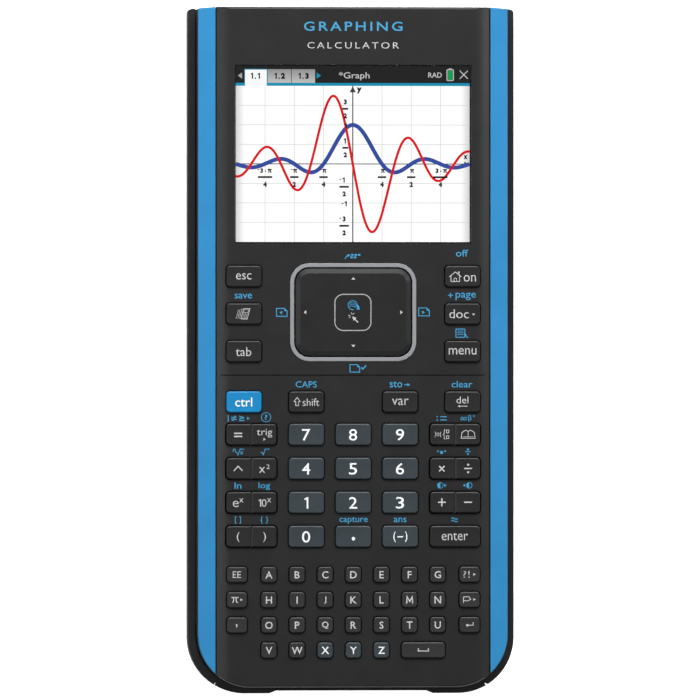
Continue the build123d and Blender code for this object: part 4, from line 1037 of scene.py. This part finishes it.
def make_floor():
    """Plain pale floor under the object."""
    mesh = bpy.data.meshes.new("floor")
    half = FLOOR_HALF
    corners = [(-half, -half, 0), (half, -half, 0), (half, half, 0), (-half, half, 0)]
    mesh.from_pydata(corners, [], [(0, 1, 2, 3)])
    floor = bpy.data.objects.new("floor", mesh)
    bpy.context.scene.collection.objects.link(floor)
    made, tree, shader = new_material("floor_pale")
    shade = noise(tree, position(tree), 40.0, 2.0)
    pale = blend_colours(tree, shade, (0.90, 0.90, 0.90), (0.93, 0.93, 0.93))
    tree.links.new(pale, shader.inputs["Base Color"])
    shader.inputs["Roughness"].default_value = 0.9
    shader.inputs["Specular IOR Level"].default_value = 0.1
    shader.inputs["Emission Color"].default_value = (1.0, 1.0, 1.0, 1.0)
    shader.inputs["Emission Strength"].default_value = 0.8
    mesh.materials.append(made)


def softbox(name, place, size, watts, diffuse=True, glossy=True):
    """Rectangular area light that faces the object and shows in diffuse light, in gloss or in both."""
    light = bpy.data.lights.new(name, "AREA")
    light.shape = "RECTANGLE"
    light.size, light.size_y = size
    light.energy = watts
    holder = bpy.data.objects.new(name, light)
    holder.location = place
    holder.rotation_euler = (Vector((0, 0, 0)) - Vector(place)).to_track_quat("-Z", "Y").to_euler()
    holder.visible_diffuse = diffuse
    holder.visible_transmission = diffuse
    holder.visible_glossy = glossy
    bpy.context.scene.collection.objects.link(holder)


def make_light():
    softbox("top_softbox", (0.0, 0.62, 0.62), (1.1, 0.35), 12.0)
    softbox("left_strip", (-0.62, 0.0, 0.82), (0.10, 1.0), 2.8, diffuse=False)
    softbox("right_strip", (0.74, 0.28, 0.80), (0.10, 0.6), 4.5, diffuse=False)
    softbox("back_panel", (0.0, 1.25, 0.55), (1.6, 1.0), 16.0, diffuse=False)
    softbox("low_softbox", (0.0, -0.8, 0.7), (1.0, 0.4), 4.5, glossy=False)
    world = bpy.data.worlds.new("studio")
    world.use_nodes = True
    sky = world.node_tree.nodes["Background"]
    sky.inputs["Color"].default_value = (1.0, 1.0, 1.0, 1.0)
    sky.inputs["Strength"].default_value = 0.16
    bpy.context.scene.world = world
    bpy.context.scene.view_settings.view_transform = "Standard"


def make_camera():
    """Long lens straight above, turned a little to the object's left."""
    seen = MM_PER_PIXEL * IMAGE_SIZE * MM
    distance = seen * LENS / SENSOR
    turn = math.radians(CAMERA_YAW)
    lens = bpy.data.cameras.new("camera")
    lens.lens = LENS
    lens.sensor_width = SENSOR
    lens.clip_end = 20.0
    holder = bpy.data.objects.new("camera", lens)
    level = span("front_case")[1].z
    across, along = AIM
    aim = Vector((across / math.cos(turn) - level * math.tan(turn), along, level)) * MM
    holder.location = aim + Vector((-math.sin(turn), 0.0, math.cos(turn))) * distance
    holder.rotation_euler = (0.0, -turn, 0.0)
    bpy.context.scene.collection.objects.link(holder)
    bpy.context.scene.camera = holder


# ------------------------------------------------------------------ make everything
make_camera()
make_light()
make_floor()
dress_cad_nodes()
number_legends()
word_legends()
shift_arrow(ink("shift_key", "gray"), -2.6, 0.1)
house(ink("home_key", "gray"), -2.05, -0.15)
small_calculator(ink("scratchpad_key", "gray"), 0.25, 0.0)
rocker_legends()
letter_legends()
second_words()
second_signs()
pad_icons()
pad_prints()
maker_line()
for printed in SHEETS.values():
    printed.lay()
draw_display()
